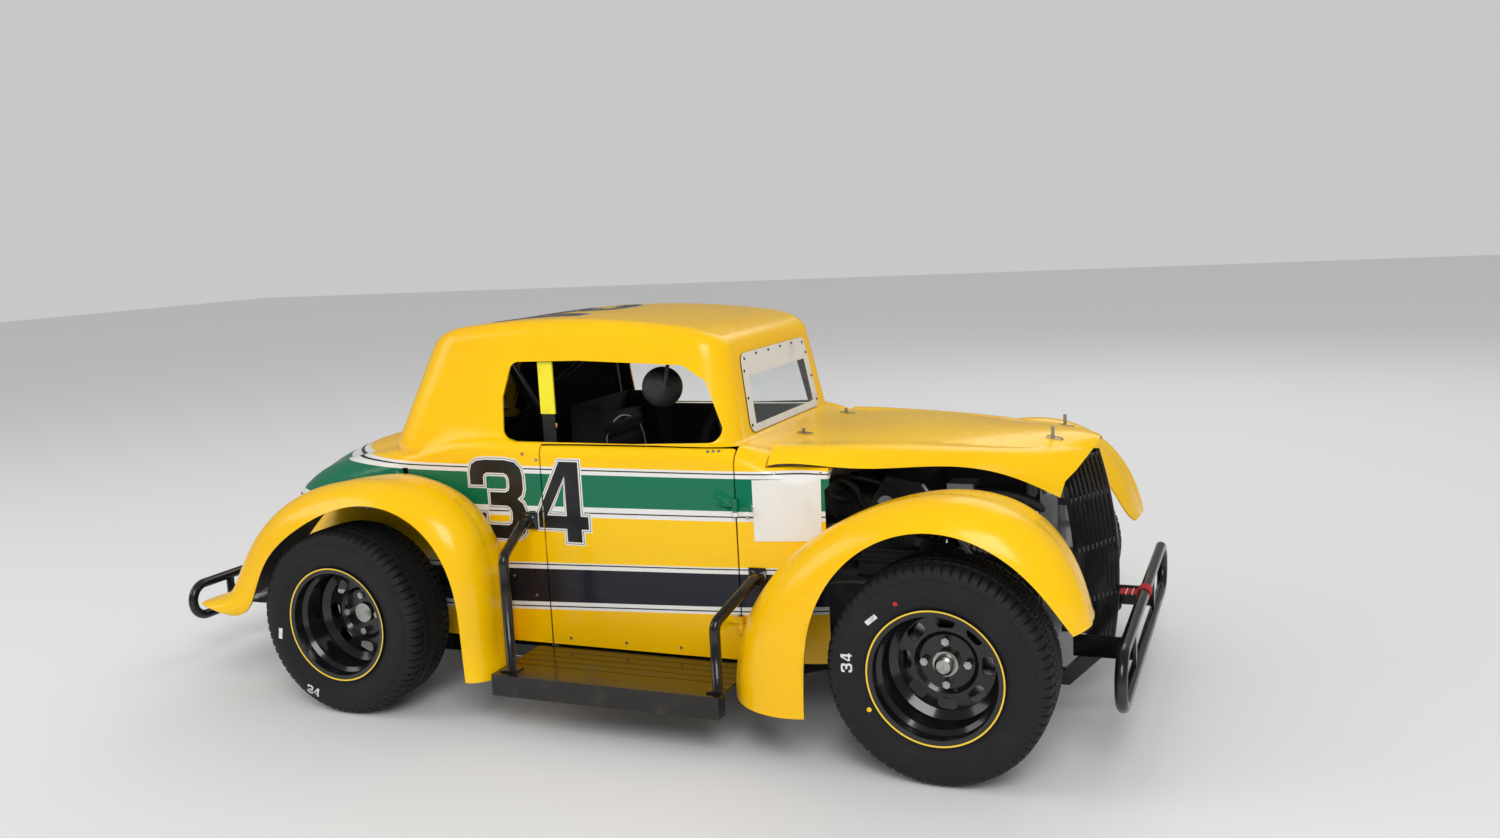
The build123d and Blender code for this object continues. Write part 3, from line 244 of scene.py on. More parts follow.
def smooth_skin(name, finishes, sharp_angle=32, which_finish=None):
    """A merged copy of a CAD node with smooth shading, which stands for it in the picture."""
    shape = bmesh.new()
    shape.from_mesh(nodes[name].data)
    bmesh.ops.remove_doubles(shape, verts=shape.verts, dist=0.00001)
    for face in shape.faces:
        face.smooth = True
        if which_finish:
            face.material_index = which_finish(face.calc_center_median(), face.normal)
    mesh = bpy.data.meshes.new(name + "_skin")
    shape.to_mesh(mesh)
    shape.free()
    for finish in finishes:
        mesh.materials.append(finish)
    mesh.set_sharp_from_angle(angle=math.radians(sharp_angle))
    skin = placed(name + "_skin", mesh)
    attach(skin, carrier_of[name])
    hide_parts(name)
    return skin


frame_enamel = metal_or_paint(
    "frame_enamel", enamel_black, scuff_grey,
    roughness=0.22, coat=0.3, scale=9.0, grain=0.0003, shine=0.4,
)
for name in ("roll_cage", "front_bumper", "rear_bumper", "side_bars_right", "side_bars_left"):
    smooth_skin(name, [frame_enamel])
dress(frame_enamel, "chassis_frame", "front_arms_right", "front_arms_left", "rear_links")
dress(frame_enamel, "rear_axle", "drive_shaft", "steering_column")

# Floor and firewall: rolled aluminium sheet, brushed by its rolling and dulled by boots,
# riveted to the frame.
rolled_alloy = (0.56, 0.56, 0.57)
dull_alloy = (0.33, 0.33, 0.33)
alloy_sheet = metal_or_paint(
    "alloy_sheet", rolled_alloy, dull_alloy, roughness=0.36, metallic=1.0, scale=6.0, grain=0.0002
)
dress(alloy_sheet, "floor_pan", "firewall")

# Engine, exhaust, knuckles, steering rack, radiator and hood pins: cast, drawn and pressed
# metal, dusty from the road. The fuel cell is a moulded box of black plastic in the tail.
cast_grey = (0.075, 0.075, 0.08)
cast_dust = (0.14, 0.13, 0.12)
pipe_steel = (0.42, 0.38, 0.33)
pipe_blue = (0.22, 0.19, 0.20)
core_alloy = (0.40, 0.41, 0.42)
moulded_black = (0.02, 0.02, 0.02)
moulded_dust = (0.04, 0.04, 0.04)
engine_cast = metal_or_paint(
    "engine_cast", cast_grey, cast_dust, roughness=0.55, metallic=0.7, scale=14.0, grain=0.0006
)
exhaust_steel = metal_or_paint(
    "exhaust_steel", pipe_steel, pipe_blue, roughness=0.34, metallic=1.0, scale=8.0, grain=0.0002
)
bare_alloy = metal_or_paint(
    "bare_alloy", core_alloy, dull_alloy, roughness=0.38, metallic=1.0, scale=16.0, grain=0.0003
)
black_plastic = metal_or_paint(
    "black_plastic", moulded_black, moulded_dust, roughness=0.5, scale=12.0, grain=0.0004
)
dress(engine_cast, "engine", "knuckle_right", "knuckle_left")
dress(exhaust_steel, "exhaust")
dress(bare_alloy, "radiator", "hood_pins", "rack_housing", "rack_bar")
dress(black_plastic, "fuel_cell")

# Body panels: glass-fibre mouldings in yellow gel coat, glossy, with the faint waves of their
# mould, and bare black fibre inside. Two bands of film, green and navy with white and black
# edges, run along the sides.
sun_yellow = (1.0, 0.60, 0.0)
deep_yellow = (0.96, 0.53, 0.0)
band_green = (0.0, 0.165, 0.080)
band_navy = (0.006, 0.007, 0.018)
film_white = (0.82, 0.82, 0.80)
film_black = (0.012, 0.012, 0.014)
BANDS = (
    (0.304, film_white), (0.311, film_black), (0.315, film_white), (0.326, band_navy),
    (0.428, film_white), (0.438, film_black), (0.442, film_white), (0.449, sun_yellow),
    (0.588, film_white), (0.599, film_black), (0.604, film_white), (0.621, band_green),
    (0.718, film_white), (0.728, film_black), (0.732, film_white), (0.741, sun_yellow),
)
band_top = 0.739
band_spread = 0.1
band_from_x = 0.044
fibre_black = (0.02, 0.02, 0.02)
fibre_dust = (0.045, 0.042, 0.036)


def gel_coat(name):
    """The yellow gloss of a moulding, with its node tree, shader, place and colour."""
    material, tree, shader, place = new_finish(name, sun_yellow, 0.26, coat=0.12, shine=0.32)
    waves = cloud(tree, place, scale=1.6, low=0.35, high=0.65, detail=2.0)
    colour = between(tree, waves, sun_yellow, deep_yellow)
    dust = cloud(tree, place, scale=30.0, low=0.45, high=0.75, detail=6.0)
    tree.links.new(spread(tree, dust, 0.22, 0.34), shader.inputs["Roughness"])
    roughen(tree, shader, waves, strength=0.12, distance=0.004)
    tree.links.new(colour, shader.inputs["Base Color"])
    return material, tree, shader, place, colour


def reckoned(tree, operation, *values):
    """A sum worked out on numbers and sockets."""
    node = tree.nodes.new("ShaderNodeMath")
    node.operation = operation
    for socket, value in zip(node.inputs, values):
        if isinstance(value, (int, float)):
            socket.default_value = value
        else:
            tree.links.new(value, socket)
    return node.outputs[0]


def within(tree, value, low, high):
    """1 where a value lies between two levels."""
    return reckoned(tree, "COMPARE", value, (low + high) / 2, (high - low) / 2)


def banded_gel_coat(name):
    """The yellow gloss with the bands of film along the sides, which fan out towards the nose."""
    material, tree, shader, place, colour = gel_coat(name)
    parts = tree.nodes.new("ShaderNodeSeparateXYZ")
    tree.links.new(place, parts.inputs["Vector"])
    x, z = parts.outputs["X"], parts.outputs["Z"]
    below = reckoned(tree, "SUBTRACT", band_top, z)
    along = reckoned(tree, "MULTIPLY_ADD", x, band_spread, -band_spread * band_from_x)
    height = reckoned(tree, "SUBTRACT", z, reckoned(tree, "MULTIPLY", below, along))
    ramp = tree.nodes.new("ShaderNodeValToRGB")
    ramp.color_ramp.interpolation = "CONSTANT"
    stops = ramp.color_ramp.elements
    stops[0].position = 0.0
    stops[0].color = (*sun_yellow, 1)
    stops.remove(stops[1])
    for level, band_colour in BANDS:
        stops.new(level).color = (*band_colour, 1)
    tree.links.new(height, ramp.inputs["Fac"])
    in_band = within(tree, height, BANDS[0][0], BANDS[-1][0])
    banded = between(tree, in_band, colour, ramp.outputs["Color"])
    tree.links.new(banded, shader.inputs["Base Color"])
    return material


plain_gel = gel_coat("gel_coat")[0]
banded_gel = banded_gel_coat("banded_gel_coat")
bare_fibre = metal_or_paint(
    "bare_fibre", fibre_black, fibre_dust, roughness=0.7, scale=18.0, grain=0.0008
)
inside_facing = -0.35
panel_sharp_angle = 28
# The lines, along X, that the cab's, the hood's and the fenders' mouldings close round
cab_line = (-1.2, 0.45, 0, 0.55)
hood_line = (0, 2, 0, 0.6)
fender_lines = {"front": 1.155, "rear": -0.699}
fender_middle_y = 0.6
fender_middle_z = 0.288
SIDES = (("right", -1), ("left", 1))


def faces_in(from_x, to_x, y, z):
    """Tells the two sides of a thin moulding apart: 1 is the side that faces its middle line."""

    def side_of(place, normal):
        middle = Vector((max(from_x, min(to_x, place.x)), y, z))
        return 1 if normal.dot((place - middle).normalized()) < inside_facing else 0

    return side_of


for name in ("body_shell", "door_right", "door_left"):
    smooth_skin(name, [banded_gel, bare_fibre], panel_sharp_angle, faces_in(*cab_line))
smooth_skin("hood", [plain_gel, bare_fibre], panel_sharp_angle, faces_in(*hood_line))
for end, axle_x in fender_lines.items():
    for side, sign in SIDES:
        inside = faces_in(axle_x, axle_x, sign * fender_middle_y, fender_middle_z)
        smooth_skin(f"fender_{end}_{side}", [plain_gel, bare_fibre], panel_sharp_angle, inside)

# Race number: black digits cut from film, edged in white, black and white, laid over the bands
# on both sides and on the roof. The front digit runs on to the door, where it is cut at the seam.
NUMBER_LAYERS = (
    ("edge", 0.0105, 0.0004, film_white),
    ("line", 0.0062, 0.0007, film_black),
    ("inner", 0.0045, 0.0010, film_white),
    ("face", 0.0, 0.0013, film_black),
)
# Outlines of the digits in millimetres from their lower left, each run with its face on its right
DIGIT_OUTLINES = {
    "3": (
        (
            (0, 165), (0, 205), (8, 228), (28, 240), (60, 244), (130, 244), (165, 238), (184, 220),
            (190, 195), (190, 158), (184, 138), (168, 125), (186, 112), (195, 90), (195, 48),
            (188, 22), (168, 6), (135, 0), (60, 0), (26, 5), (8, 18), (0, 42), (0, 78), (50, 78),
            (50, 54), (60, 42), (130, 42), (142, 49), (146, 62), (146, 84), (140, 97), (128, 103),
            (70, 103), (70, 144), (126, 144), (138, 150), (142, 162), (142, 186), (136, 198),
            (124, 204), (62, 204), (52, 198), (48, 188), (48, 165),
        ),
    ),
    "4": (
        (
            (0, 40), (0, 85), (82, 244), (146, 244), (146, 79), (171, 79), (171, 40), (146, 40),
            (146, 0), (96, 0), (96, 40),
        ),
        ((30, 79), (98, 79), (98, 200)),
    ),
}
DIGIT_SIZES = {"3": (195, 244), "4": (171, 244)}
SIDE_DIGITS = (("3", -0.263, 0.635), ("4", -0.036, 0.635))
ROOF_DIGITS = (("3", -0.25, 0.15), ("4", -0.25, -0.14))
roof_digit_scale = 1.3
door_gap = 0.005
door_edge_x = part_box("door_right")[0].x
strip_width = 0.02
strip_reach = 0.25
film_start_y = 0.6
film_start_z = 1.3
film_reach = 0.22
SEAM_STEPS = (0, 0.006, -0.006, 0.012, -0.012)
sharpest_mitre = 0.5
worn_white = (0.72, 0.71, 0.68)
worn_black = (0.03, 0.03, 0.03)


def skin_under(*pieces):
    """A tree of the faces of some objects, for laying film on them."""
    skin = bmesh.new()
    for piece in pieces:
        skin.from_mesh(piece.data)
    tree = BVHTree.FromBMesh(skin)
    skin.free()
    return tree


def grown_corner(before, corner, after, grow):
    """An outline's corner moved outwards, so that both of its edges move by the growth."""
    into, out = (corner - before).normalized(), (after - corner).normalized()
    side_in, side_out = Vector((-into.y, into.x)), Vector((-out.y, out.x))
    mitre = (side_in + side_out).normalized()
    return corner + mitre * grow / max(sharpest_mitre, mitre.dot(side_in))


def digit_shape(digit, grow):
    """A flat digit about its own middle, with X across and Y up, grown by a margin."""
    flat = bmesh.new()
    wide, high = DIGIT_SIZES[digit]
    for outline in DIGIT_OUTLINES[digit]:
        corners = [Vector((x - wide / 2, y - high / 2)) / 1000 for x, y in outline]
        loop = []
        for index, corner in enumerate(corners):
            after = corners[(index + 1) % len(corners)]
            x, y = grown_corner(corners[index - 1], corner, after, grow)
            loop.append(flat.verts.new((x, y, 0)))
        for first, second in zip(loop, loop[1:] + loop[:1]):
            flat.edges.new((first, second))
    bmesh.ops.triangle_fill(flat, use_beauty=True, edges=flat.edges[:], normal=(0, 0, 1))
    return flat


def cut(shape, place, across, **cleared):
    """Cuts a bmesh along a plane, and may clear what lies on one side of it."""
    geometry = shape.verts[:] + shape.edges[:] + shape.faces[:]
    bmesh.ops.bisect_plane(shape, geom=geometry, plane_co=place, plane_no=across, **cleared)


def cut_into_strips(flat):
    """Cuts a flat shape along a grid, so that it can follow a curved skin."""
    count = round(2 * strip_reach / strip_width)
    for axis in ((1, 0, 0), (0, 1, 0)):
        for index in range(count):
            cut(flat, Vector(axis) * (-strip_reach + index * strip_width), axis)


def finish_piece(shape, name, material, body):
    """Makes an object of a bmesh, gives it a material and lets it ride on a body."""
    mesh = bpy.data.meshes.new(name)
    shape.to_mesh(mesh)
    shape.free()
    mesh.materials.append(material)
    piece = placed(name, mesh)
    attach(piece, body)
    return piece


film_finishes = {}
for word, colour, cloud_colour in (("white", film_white, worn_white), ("black", film_black, worn_black)):
    film_finishes[colour] = metal_or_paint(
        "film_" + word, colour, cloud_colour, roughness=0.24, coat=0.05, scale=7.0, grain=0.0001, shine=0.3
    )


def lay_film(shape, skin, direction, lift):
    """Moves each point of a film along a direction to just outside the skin, seams bridged."""
    for point in shape.verts:
        for aside in SEAM_STEPS:
            start = point.co + Vector((aside, 0, 0))
            hit = skin.ray_cast(start, direction, film_reach)[0]
            if hit is not None:
                point.co = hit - Vector((aside, 0, 0)) - direction * lift
                break


side_skin = skin_under(nodes["body_shell"], nodes["door_right"], nodes["door_left"])
for side, sign in SIDES:
    for digit, middle_x, middle_z in SIDE_DIGITS:
        if sign > 0:
            middle_x = SIDE_DIGITS[0][1] + SIDE_DIGITS[1][1] - middle_x
        cuts = (
            ("fore", True, "door_" + side, door_edge_x),
            ("aft", False, "root", door_edge_x - door_gap),
        )
        for layer, grow, lift, colour in NUMBER_LAYERS:
            film = digit_shape(digit, grow)
            cut_into_strips(film)
            facing = Matrix(((-sign, 0, 0), (0, 0, sign), (0, 1, 0))).to_4x4()
            bmesh.ops.transform(film, matrix=facing, verts=film.verts)
            place = (middle_x, sign * film_start_y, middle_z)
            bmesh.ops.translate(film, verts=film.verts, vec=place)
            lay_film(film, side_skin, Vector((0, -sign, 0)), lift)
            for part, keep_ahead, carrier, cut_x in cuts:
                half = film.copy()
                cleared = {"clear_inner": keep_ahead, "clear_outer": not keep_ahead}
                cut(half, (cut_x, 0, 0), (1, 0, 0), **cleared)
                if half.faces:
                    piece_name = f"number_{digit}_{layer}_{side}_{part}"
                    finish_piece(half, piece_name, film_finishes[colour], carrier)
                else:
                    half.free()
            film.free()
roof_skin = skin_under(nodes["body_shell"])
for digit, middle_x, middle_y in ROOF_DIGITS:
    for layer, grow, lift, colour in NUMBER_LAYERS:
        film = digit_shape(digit, grow)
        bmesh.ops.scale(film, verts=film.verts, vec=(roof_digit_scale, roof_digit_scale, 1))
        cut_into_strips(film)
        facing = Matrix.Rotation(-math.pi / 2, 3, "Z")
        bmesh.ops.rotate(film, verts=film.verts, cent=(0, 0, 0), matrix=facing)
        bmesh.ops.translate(film, verts=film.verts, vec=(middle_x, middle_y, film_start_z))
        lay_film(film, roof_skin, Vector((0, 0, -1)), lift)
        finish_piece(film, f"number_roof_{digit}_{layer}", film_finishes[colour], "root")

# Blank panels: a plain patch of white film on each side of the cowl, ahead of the door, cut
# square and pressed on to the moulding.
PANEL_CORNERS = ((0.577, 0.717), (0.772, 0.723), (0.768, 0.546), (0.577, 0.542))
panel_cuts = 24
panel_lift = 0.0012
for side, sign in SIDES:
    panel = bmesh.new()
    bmesh.ops.create_grid(panel, x_segments=panel_cuts, y_segments=panel_cuts, size=0.5)
    for point in panel.verts:
        across, rise = point.co.x + 0.5, 0.5 - point.co.y
        (x0, z0), (x1, z1), (x2, z2), (x3, z3) = PANEL_CORNERS
        top = Vector((x0 + (x1 - x0) * across, 0, z0 + (z1 - z0) * across))
        foot = Vector((x3 + (x2 - x3) * across, 0, z3 + (z2 - z3) * across))
        point.co = top + (foot - top) * rise
        point.co.y = sign * film_start_y
    lay_film(panel, side_skin, Vector((0, -sign, 0)), panel_lift)
    bmesh.ops.recalc_face_normals(panel, faces=panel.faces)
    if panel.faces[:][0].normal.y * sign < 0:
        bmesh.ops.reverse_faces(panel, faces=panel.faces)
    finish_piece(panel, "blank_panel_" + side, film_finishes[film_white], "root")

# Windscreen: a clear polycarbonate sheet with a white film border and sun strip, held by
# small dark screws through its edge.
clear_bright = (0.96, 0.98, 0.98)
clear_dim = (0.88, 0.91, 0.92)
border_white = (0.80, 0.80, 0.80)
border_worn = (0.66, 0.66, 0.65)
clear_film, clear_tree, clear_shader, clear_place = new_finish("clear_sheet", clear_bright, 0.03)
clear_shader.inputs["Transmission Weight"].default_value = 1.0
clear_shader.inputs["IOR"].default_value = 1.3
tint = cloud(clear_tree, clear_place, 5.0, 0.4, 0.7)
clear_colour = between(clear_tree, tint, clear_bright, clear_dim)
clear_tree.links.new(clear_colour, clear_shader.inputs["Base Color"])
white_film = metal_or_paint(
    "white_film", border_white, border_worn, roughness=0.30, coat=0.2, scale=10.0, grain=0.0001
)
dress(clear_film, "windscreen")
dress(white_film, "windscreen_border")

# Grille, running boards and dash: flat steel bars and folded steel plate in gloss black, bolted
# to the frame. Clouds of browner grey on the boards and dash are painted reflection of the
# yellow body.
plate_black = (0.008, 0.007, 0.006)
# Browner grey: painted reflection of the yellow body in the glossy boards
board_painted_reflection = (0.03, 0.025, 0.018)
board_black = metal_or_paint(
    "board_black", plate_black, board_painted_reflection,
    roughness=0.18, coat=0.25, scale=12.0, grain=0.0002, shine=0.4,
)
dress(frame_enamel, "grille")
dress(board_black, "running_board_right", "running_board_left", "dash_panel")

# Tow strap: red woven webbing, sewn into a loop and slung round the front bumper's tubes, for
# pulling the car.
webbing_red = (0.55, 0.01, 0.02)
webbing_dark = (0.42, 0.005, 0.015)
webbing_light = (0.62, 0.02, 0.03)


def woven(name, colour, dark, light, roughness, metallic, threads, distortion, strength, depth):
    """A weave of dark and light threads that stand up a little."""
    material, tree, shader, place = new_finish(name, colour, roughness, metallic)
    weave = tree.nodes.new("ShaderNodeTexWave")
    weave.inputs["Scale"].default_value = threads
    weave.inputs["Distortion"].default_value = distortion
    tree.links.new(place, weave.inputs["Vector"])
    shown = between(tree, weave.outputs["Fac"], dark, light)
    tree.links.new(shown, shader.inputs["Base Color"])
    roughen(tree, shader, weave.outputs["Fac"], strength, depth)
    return material


strap_red = woven(
    "strap_webbing", webbing_red, webbing_dark, webbing_light,
    roughness=0.8, metallic=0.0, threads=260, distortion=1.0, strength=0.6, depth=0.001,
)
dress(strap_red, "tow_strap")

# Seat, its cushion and the steering wheel: black cloth over a shell, and a suede grip. The
# cushion is one padded L in the seat's well, puffed by a cloth simulation, with sewn channels
# across it and a white piping near the edge of its back.
cloth_black = (0.015, 0.015, 0.016)
cloth_dust = (0.03, 0.03, 0.032)
seat_sharp_angle = 40
seat_edge_round = 0.006
cushion_voxel = 0.007
cushion_inset = 0.008
cushion_cap = 0.010
cushion_pressure = 4
cushion_quality = 4
cushion_frames = 20
back_from_z, back_facing = 0.24, 0.3
base_to_z, base_facing = 0.25, 0.5
channel_depth = 0.006
channel_half = 0.007
BASE_CHANNELS = (0.155, 0.085, 0.015)
BACK_CHANNELS = (0.33, 0.41, 0.49, 0.57, 0.65, 0.73)
PIPING = (
    (-0.12, 0.30), (-0.135, 0.55), (-0.125, 0.74), (-0.06, 0.785), (0.06, 0.785), (0.125, 0.74),
    (0.135, 0.55), (0.12, 0.30),
)
seat_middle_y = 0.168
piping_start_x = 0.4
piping_radius = 0.003
seat_black = metal_or_paint(
    "seat_black", cloth_black, cloth_dust, roughness=0.85, scale=30.0, grain=0.001
)
smooth_skin("steering_wheel", [seat_black])


def worked_out(piece):
    """The mesh that an object's curve or modifiers give."""
    graph = bpy.context.evaluated_depsgraph_get()
    return bpy.data.meshes.new_from_object(piece.evaluated_get(graph))


def puffed(source, name):
    """A cushion from a CAD solid: shrunk, meshed again, blown up a little as cloth and capped."""
    shape = bmesh.new()
    shape.from_mesh(nodes[source].data)
    bmesh.ops.remove_doubles(shape, verts=shape.verts, dist=0.0001)
    bmesh.ops.recalc_face_normals(shape, faces=shape.faces)
    bmesh.ops.dissolve_limit(shape, angle_limit=0.02, verts=shape.verts, edges=shape.edges)
    inset = {point: point.calc_shell_factor() * cushion_inset for point in shape.verts}
    for point, depth in inset.items():
        point.co -= point.normal * depth
    mesh = bpy.data.meshes.new(name)
    shape.to_mesh(mesh)
    shape.free()
    block = placed(name, mesh)
    remesh = block.modifiers.new("remesh", "REMESH")
    remesh.mode = "VOXEL"
    remesh.voxel_size = cushion_voxel
    flat = worked_out(block)
    block.modifiers.clear()
    block.data = flat
    rest = [point.co.copy() for point in flat.vertices]
    cloth = block.modifiers.new("puff", "CLOTH")
    cloth.settings.quality = cushion_quality
    cloth.settings.use_pressure = True
    cloth.settings.uniform_pressure_force = cushion_pressure
    cloth.settings.effector_weights.gravity = 0
    cloth.point_cache.frame_start = 1
    cloth.point_cache.frame_end = cushion_frames
    for step in range(1, cushion_frames + 1):
        bpy.context.scene.frame_set(step)
    blown = worked_out(block)
    block.modifiers.clear()
    bpy.context.scene.frame_set(1)
    for point, start in zip(blown.vertices, rest):
        move = point.co - start
        if move.length > cushion_cap:
            point.co = start + move.normalized() * cushion_cap
    block.data = blown
    return block


def add_hose(shape, points, radius):
    """A round hose, wire or bent rod through some points, added to a bmesh."""
    line = bpy.data.curves.new("line", "CURVE")
    line.dimensions = "3D"
    line.bevel_depth = radius
    line.bevel_resolution = 3
    line.resolution_u = 8
    line.use_fill_caps = True
    run = line.splines.new("BEZIER")
    run.bezier_points.add(len(points) - 1)
    for knot, place in zip(run.bezier_points, points):
        knot.co = place
        knot.handle_left_type = knot.handle_right_type = "AUTO"
    holder = placed("line", line)
    bent = worked_out(holder)
    shape.from_mesh(bent)
    bpy.data.objects.remove(holder)
    bpy.data.meshes.remove(bent)
    bpy.data.curves.remove(line)


def smooth(piece, sharp_angle=40):
    """Smooth shading, with any corner over an angle kept sharp."""
    for polygon in piece.data.polygons:
        polygon.use_smooth = True
    if sharp_angle:
        piece.data.set_sharp_from_angle(angle=math.radians(sharp_angle))
    return piece


cushion = puffed("seat_pad", "seat_cushion")
for point in cushion.data.vertices:
    on_back = point.co.z > back_from_z and point.normal.x > back_facing
    on_base = point.co.z < base_to_z and point.normal.z > base_facing
    here, channels = (point.co.z, BACK_CHANNELS) if on_back else (point.co.x, BASE_CHANNELS)
    if on_back or on_base:
        gap = min(abs(here - channel) for channel in channels)
        point.co -= point.normal * channel_depth * math.exp(-((gap / channel_half) ** 2))
finer = cushion.modifiers.new("finer", "SUBSURF")
finer.levels = finer.render_levels = 1
smooth(cushion, None)
cushion.data.materials.clear()
cushion.data.materials.append(seat_black)
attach(cushion, "root")
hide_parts("seat_pad")
seat_skin = smooth_skin("seat", [seat_black], seat_sharp_angle)
rounded = seat_skin.modifiers.new("rounded", "BEVEL")
rounded.width = seat_edge_round
rounded.segments = 3
rounded.limit_method = "ANGLE"
cushion_skin = skin_under(cushion)
piping_run = []
for across, height in PIPING:
    start = Vector((piping_start_x, seat_middle_y + across, height))
    hit = cushion_skin.ray_cast(start, Vector((-1, 0, 0)))[0]
    if hit is not None:
        piping_run.append(hit)
piping_shape = bmesh.new()
add_hose(piping_shape, piping_run, piping_radius)
smooth(finish_piece(piping_shape, "seat_piping", film_finishes[film_white], "root"))

# Window strap: black webbing held upright between the roof bar and the door bar behind the right
# window, with a plain yellow sleeve sewn round it.
strap_x, strap_y = -0.115, -0.385
strap_low_z, strap_high_z = 0.56, 1.10
sleeve_low_z, sleeve_high_z = 0.887, 1.047
strap_half = Vector((0.022, 0.001, 0))
sleeve_half = Vector((0.025, 0.003, 0))
sleeve_bright = (0.95, 0.85, 0.02)
sleeve_worn = (0.8, 0.7, 0.02)


def add_block(shape, low, high):
    """A box between two corners, added to a bmesh."""
    low, high = Vector(low), Vector(high)
    made = bmesh.ops.create_cube(shape, size=1)["verts"]
    bmesh.ops.scale(shape, verts=made, vec=high - low)
    bmesh.ops.translate(shape, verts=made, vec=(low + high) / 2)


sleeve_yellow = metal_or_paint(
    "sleeve_yellow", sleeve_bright, sleeve_worn, roughness=0.6, scale=20.0, grain=0.0004
)
for piece_name, finish, half, low_z, high_z in (
    ("window_strap", seat_black, strap_half, strap_low_z, strap_high_z),
    ("strap_sleeve", sleeve_yellow, sleeve_half, sleeve_low_z, sleeve_high_z),
):
    webbing = bmesh.new()
    foot, top = Vector((strap_x, strap_y, low_z)), Vector((strap_x, strap_y, high_z))
    add_block(webbing, foot - half, top + half)
    finish_piece(webbing, piece_name, finish, "root")

# Mirror: a spun dish in dull black plastic on a bent steel stem, clamped to the front cage tube
# by a bright band.
DISH_PROFILE = (
    (0, 0), (0, 0.058), (0.003, 0.061), (0.010, 0.061), (0.026, 0.055), (0.040, 0.040),
    (0.050, 0.022), (0.056, 0.010), (0.062, 0),
)
mirror_place = Vector((0.232, -0.297, 0.958))
mirror_back = Vector((0.55, -0.82, 0.10)).normalized()
STEM = (
    (0.262, -0.342, 0.963), (0.272, -0.345, 1.000), (0.278, -0.338, 1.045),
    (0.279, -0.331, 1.076),
)
stem_radius = 0.006
clamp_foot = Vector((0.268, -0.3325, 1.098))
clamp_top = Vector((0.306, -0.3325, 1.086))
clamp_radius = 0.024


def aimed(place, direction):
    """The matrix that turns upright things along a direction and brings them to a place."""
    return Matrix.Translation(place) @ direction.to_track_quat("Z", "Y").to_matrix().to_4x4()


def add_rod(shape, foot, top, radius, segments=20):
    """A closed round rod between two points, added to a bmesh."""
    along = top - foot
    made = bmesh.ops.create_cone(
        shape, cap_ends=True, segments=segments, radius1=radius, radius2=radius, depth=along.length
    )["verts"]
    bmesh.ops.transform(shape, matrix=aimed((foot + top) / 2, along), verts=made)


def spun(profile, axis, steps, ring=False):
    """A bmesh of a profile, or a ring of points, spun all the way round an axis."""
    shape = bmesh.new()
    row = [shape.verts.new(place) for place in profile]
    for first, second in zip(row, row[1:] + row[:1] if ring else row[1:]):
        shape.edges.new((first, second))
    bmesh.ops.spin(
        shape,
        geom=shape.verts[:] + shape.edges[:],
        cent=(0, 0, 0),
        axis=axis,
        angle=math.tau,
        steps=steps,
        use_merge=True,
        use_duplicate=False,
    )
    bmesh.ops.remove_doubles(shape, verts=shape.verts, dist=0.00001)
    return shape


mirror_shape = spun([(out, 0, along) for along, out in DISH_PROFILE], (0, 0, 1), 48)
bmesh.ops.recalc_face_normals(mirror_shape, faces=mirror_shape.faces)
mirror_turn = aimed(mirror_place, mirror_back)
bmesh.ops.transform(mirror_shape, matrix=mirror_turn, verts=mirror_shape.verts)
add_hose(mirror_shape, STEM, stem_radius)
mirror_dish = finish_piece(mirror_shape, "mirror_dish", black_plastic, "root")
smooth(mirror_dish)
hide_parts("interior_mirror")
clamp_shape = bmesh.new()
add_rod(clamp_shape, clamp_foot, clamp_top, clamp_radius, 28)
smooth(finish_piece(clamp_shape, "mirror_clamp", bare_alloy, "root"))

# Hood clips: a hairpin of bright spring wire lies round each hood pin, flat on the hood, and
# keeps it down. The clips are lifted off with the hood.
clip_wire = 0.0014
clip_lift = 0.003
clip_fall_z = 0.82
CLIP = (
    (-0.018, -0.0068), (0.010, -0.0068), (0.024, -0.004), (0.028, 0), (0.024, 0.004),
    (0.010, 0.0068), (-0.018, 0.0068),
)
PIN_PLACES = ((0.640, 0.200), (0.640, -0.200), (1.350, 0.110), (1.350, -0.110))
hood_skin = skin_under(nodes["hood"])
clip_shape = bmesh.new()
for pin_x, pin_y in PIN_PLACES:
    run = []
    for along, across in CLIP:
        x, y = pin_x + along, pin_y + across
        hit = hood_skin.ray_cast(Vector((x, y, 1.0)), Vector((0, 0, -1)))[0]
        run.append(Vector((x, y, hit.z + clip_lift if hit else clip_fall_z)))
    add_hose(clip_shape, run, clip_wire)
finish_piece(clip_shape, "hood_clips", bare_alloy, "hood")

# Engine bay: rubber leads and coolant hoses with a black box behind them, braided steel lines,
# and in bright metal the carburettors' bells, a coolant neck and braces from the spring towers,
# all clipped or bolted to the engine or the frame. The black box is painted shade: it stands for
# the dark depth of the bay and keeps the daylight from showing through.
# The hoses' black is also the colour of the black box of painted shade in the bay
hose_and_shade_black = (0.012, 0.012, 0.012)
hose_dust = (0.03, 0.03, 0.03)
braid_mean = (0.55, 0.55, 0.54)
braid_dark = (0.30, 0.30, 0.30)
braid_bright = (0.62, 0.62, 0.60)
rubber_and_shade_black = metal_or_paint(
    "rubber_and_shade_black", hose_and_shade_black, hose_dust, roughness=0.5, scale=20.0, grain=0.0003
)
braid_steel = woven(
    "braid_steel", braid_mean, braid_dark, braid_bright,
    roughness=0.35, metallic=1.0, threads=180, distortion=0.0, strength=0.5, depth=0.0008,
)
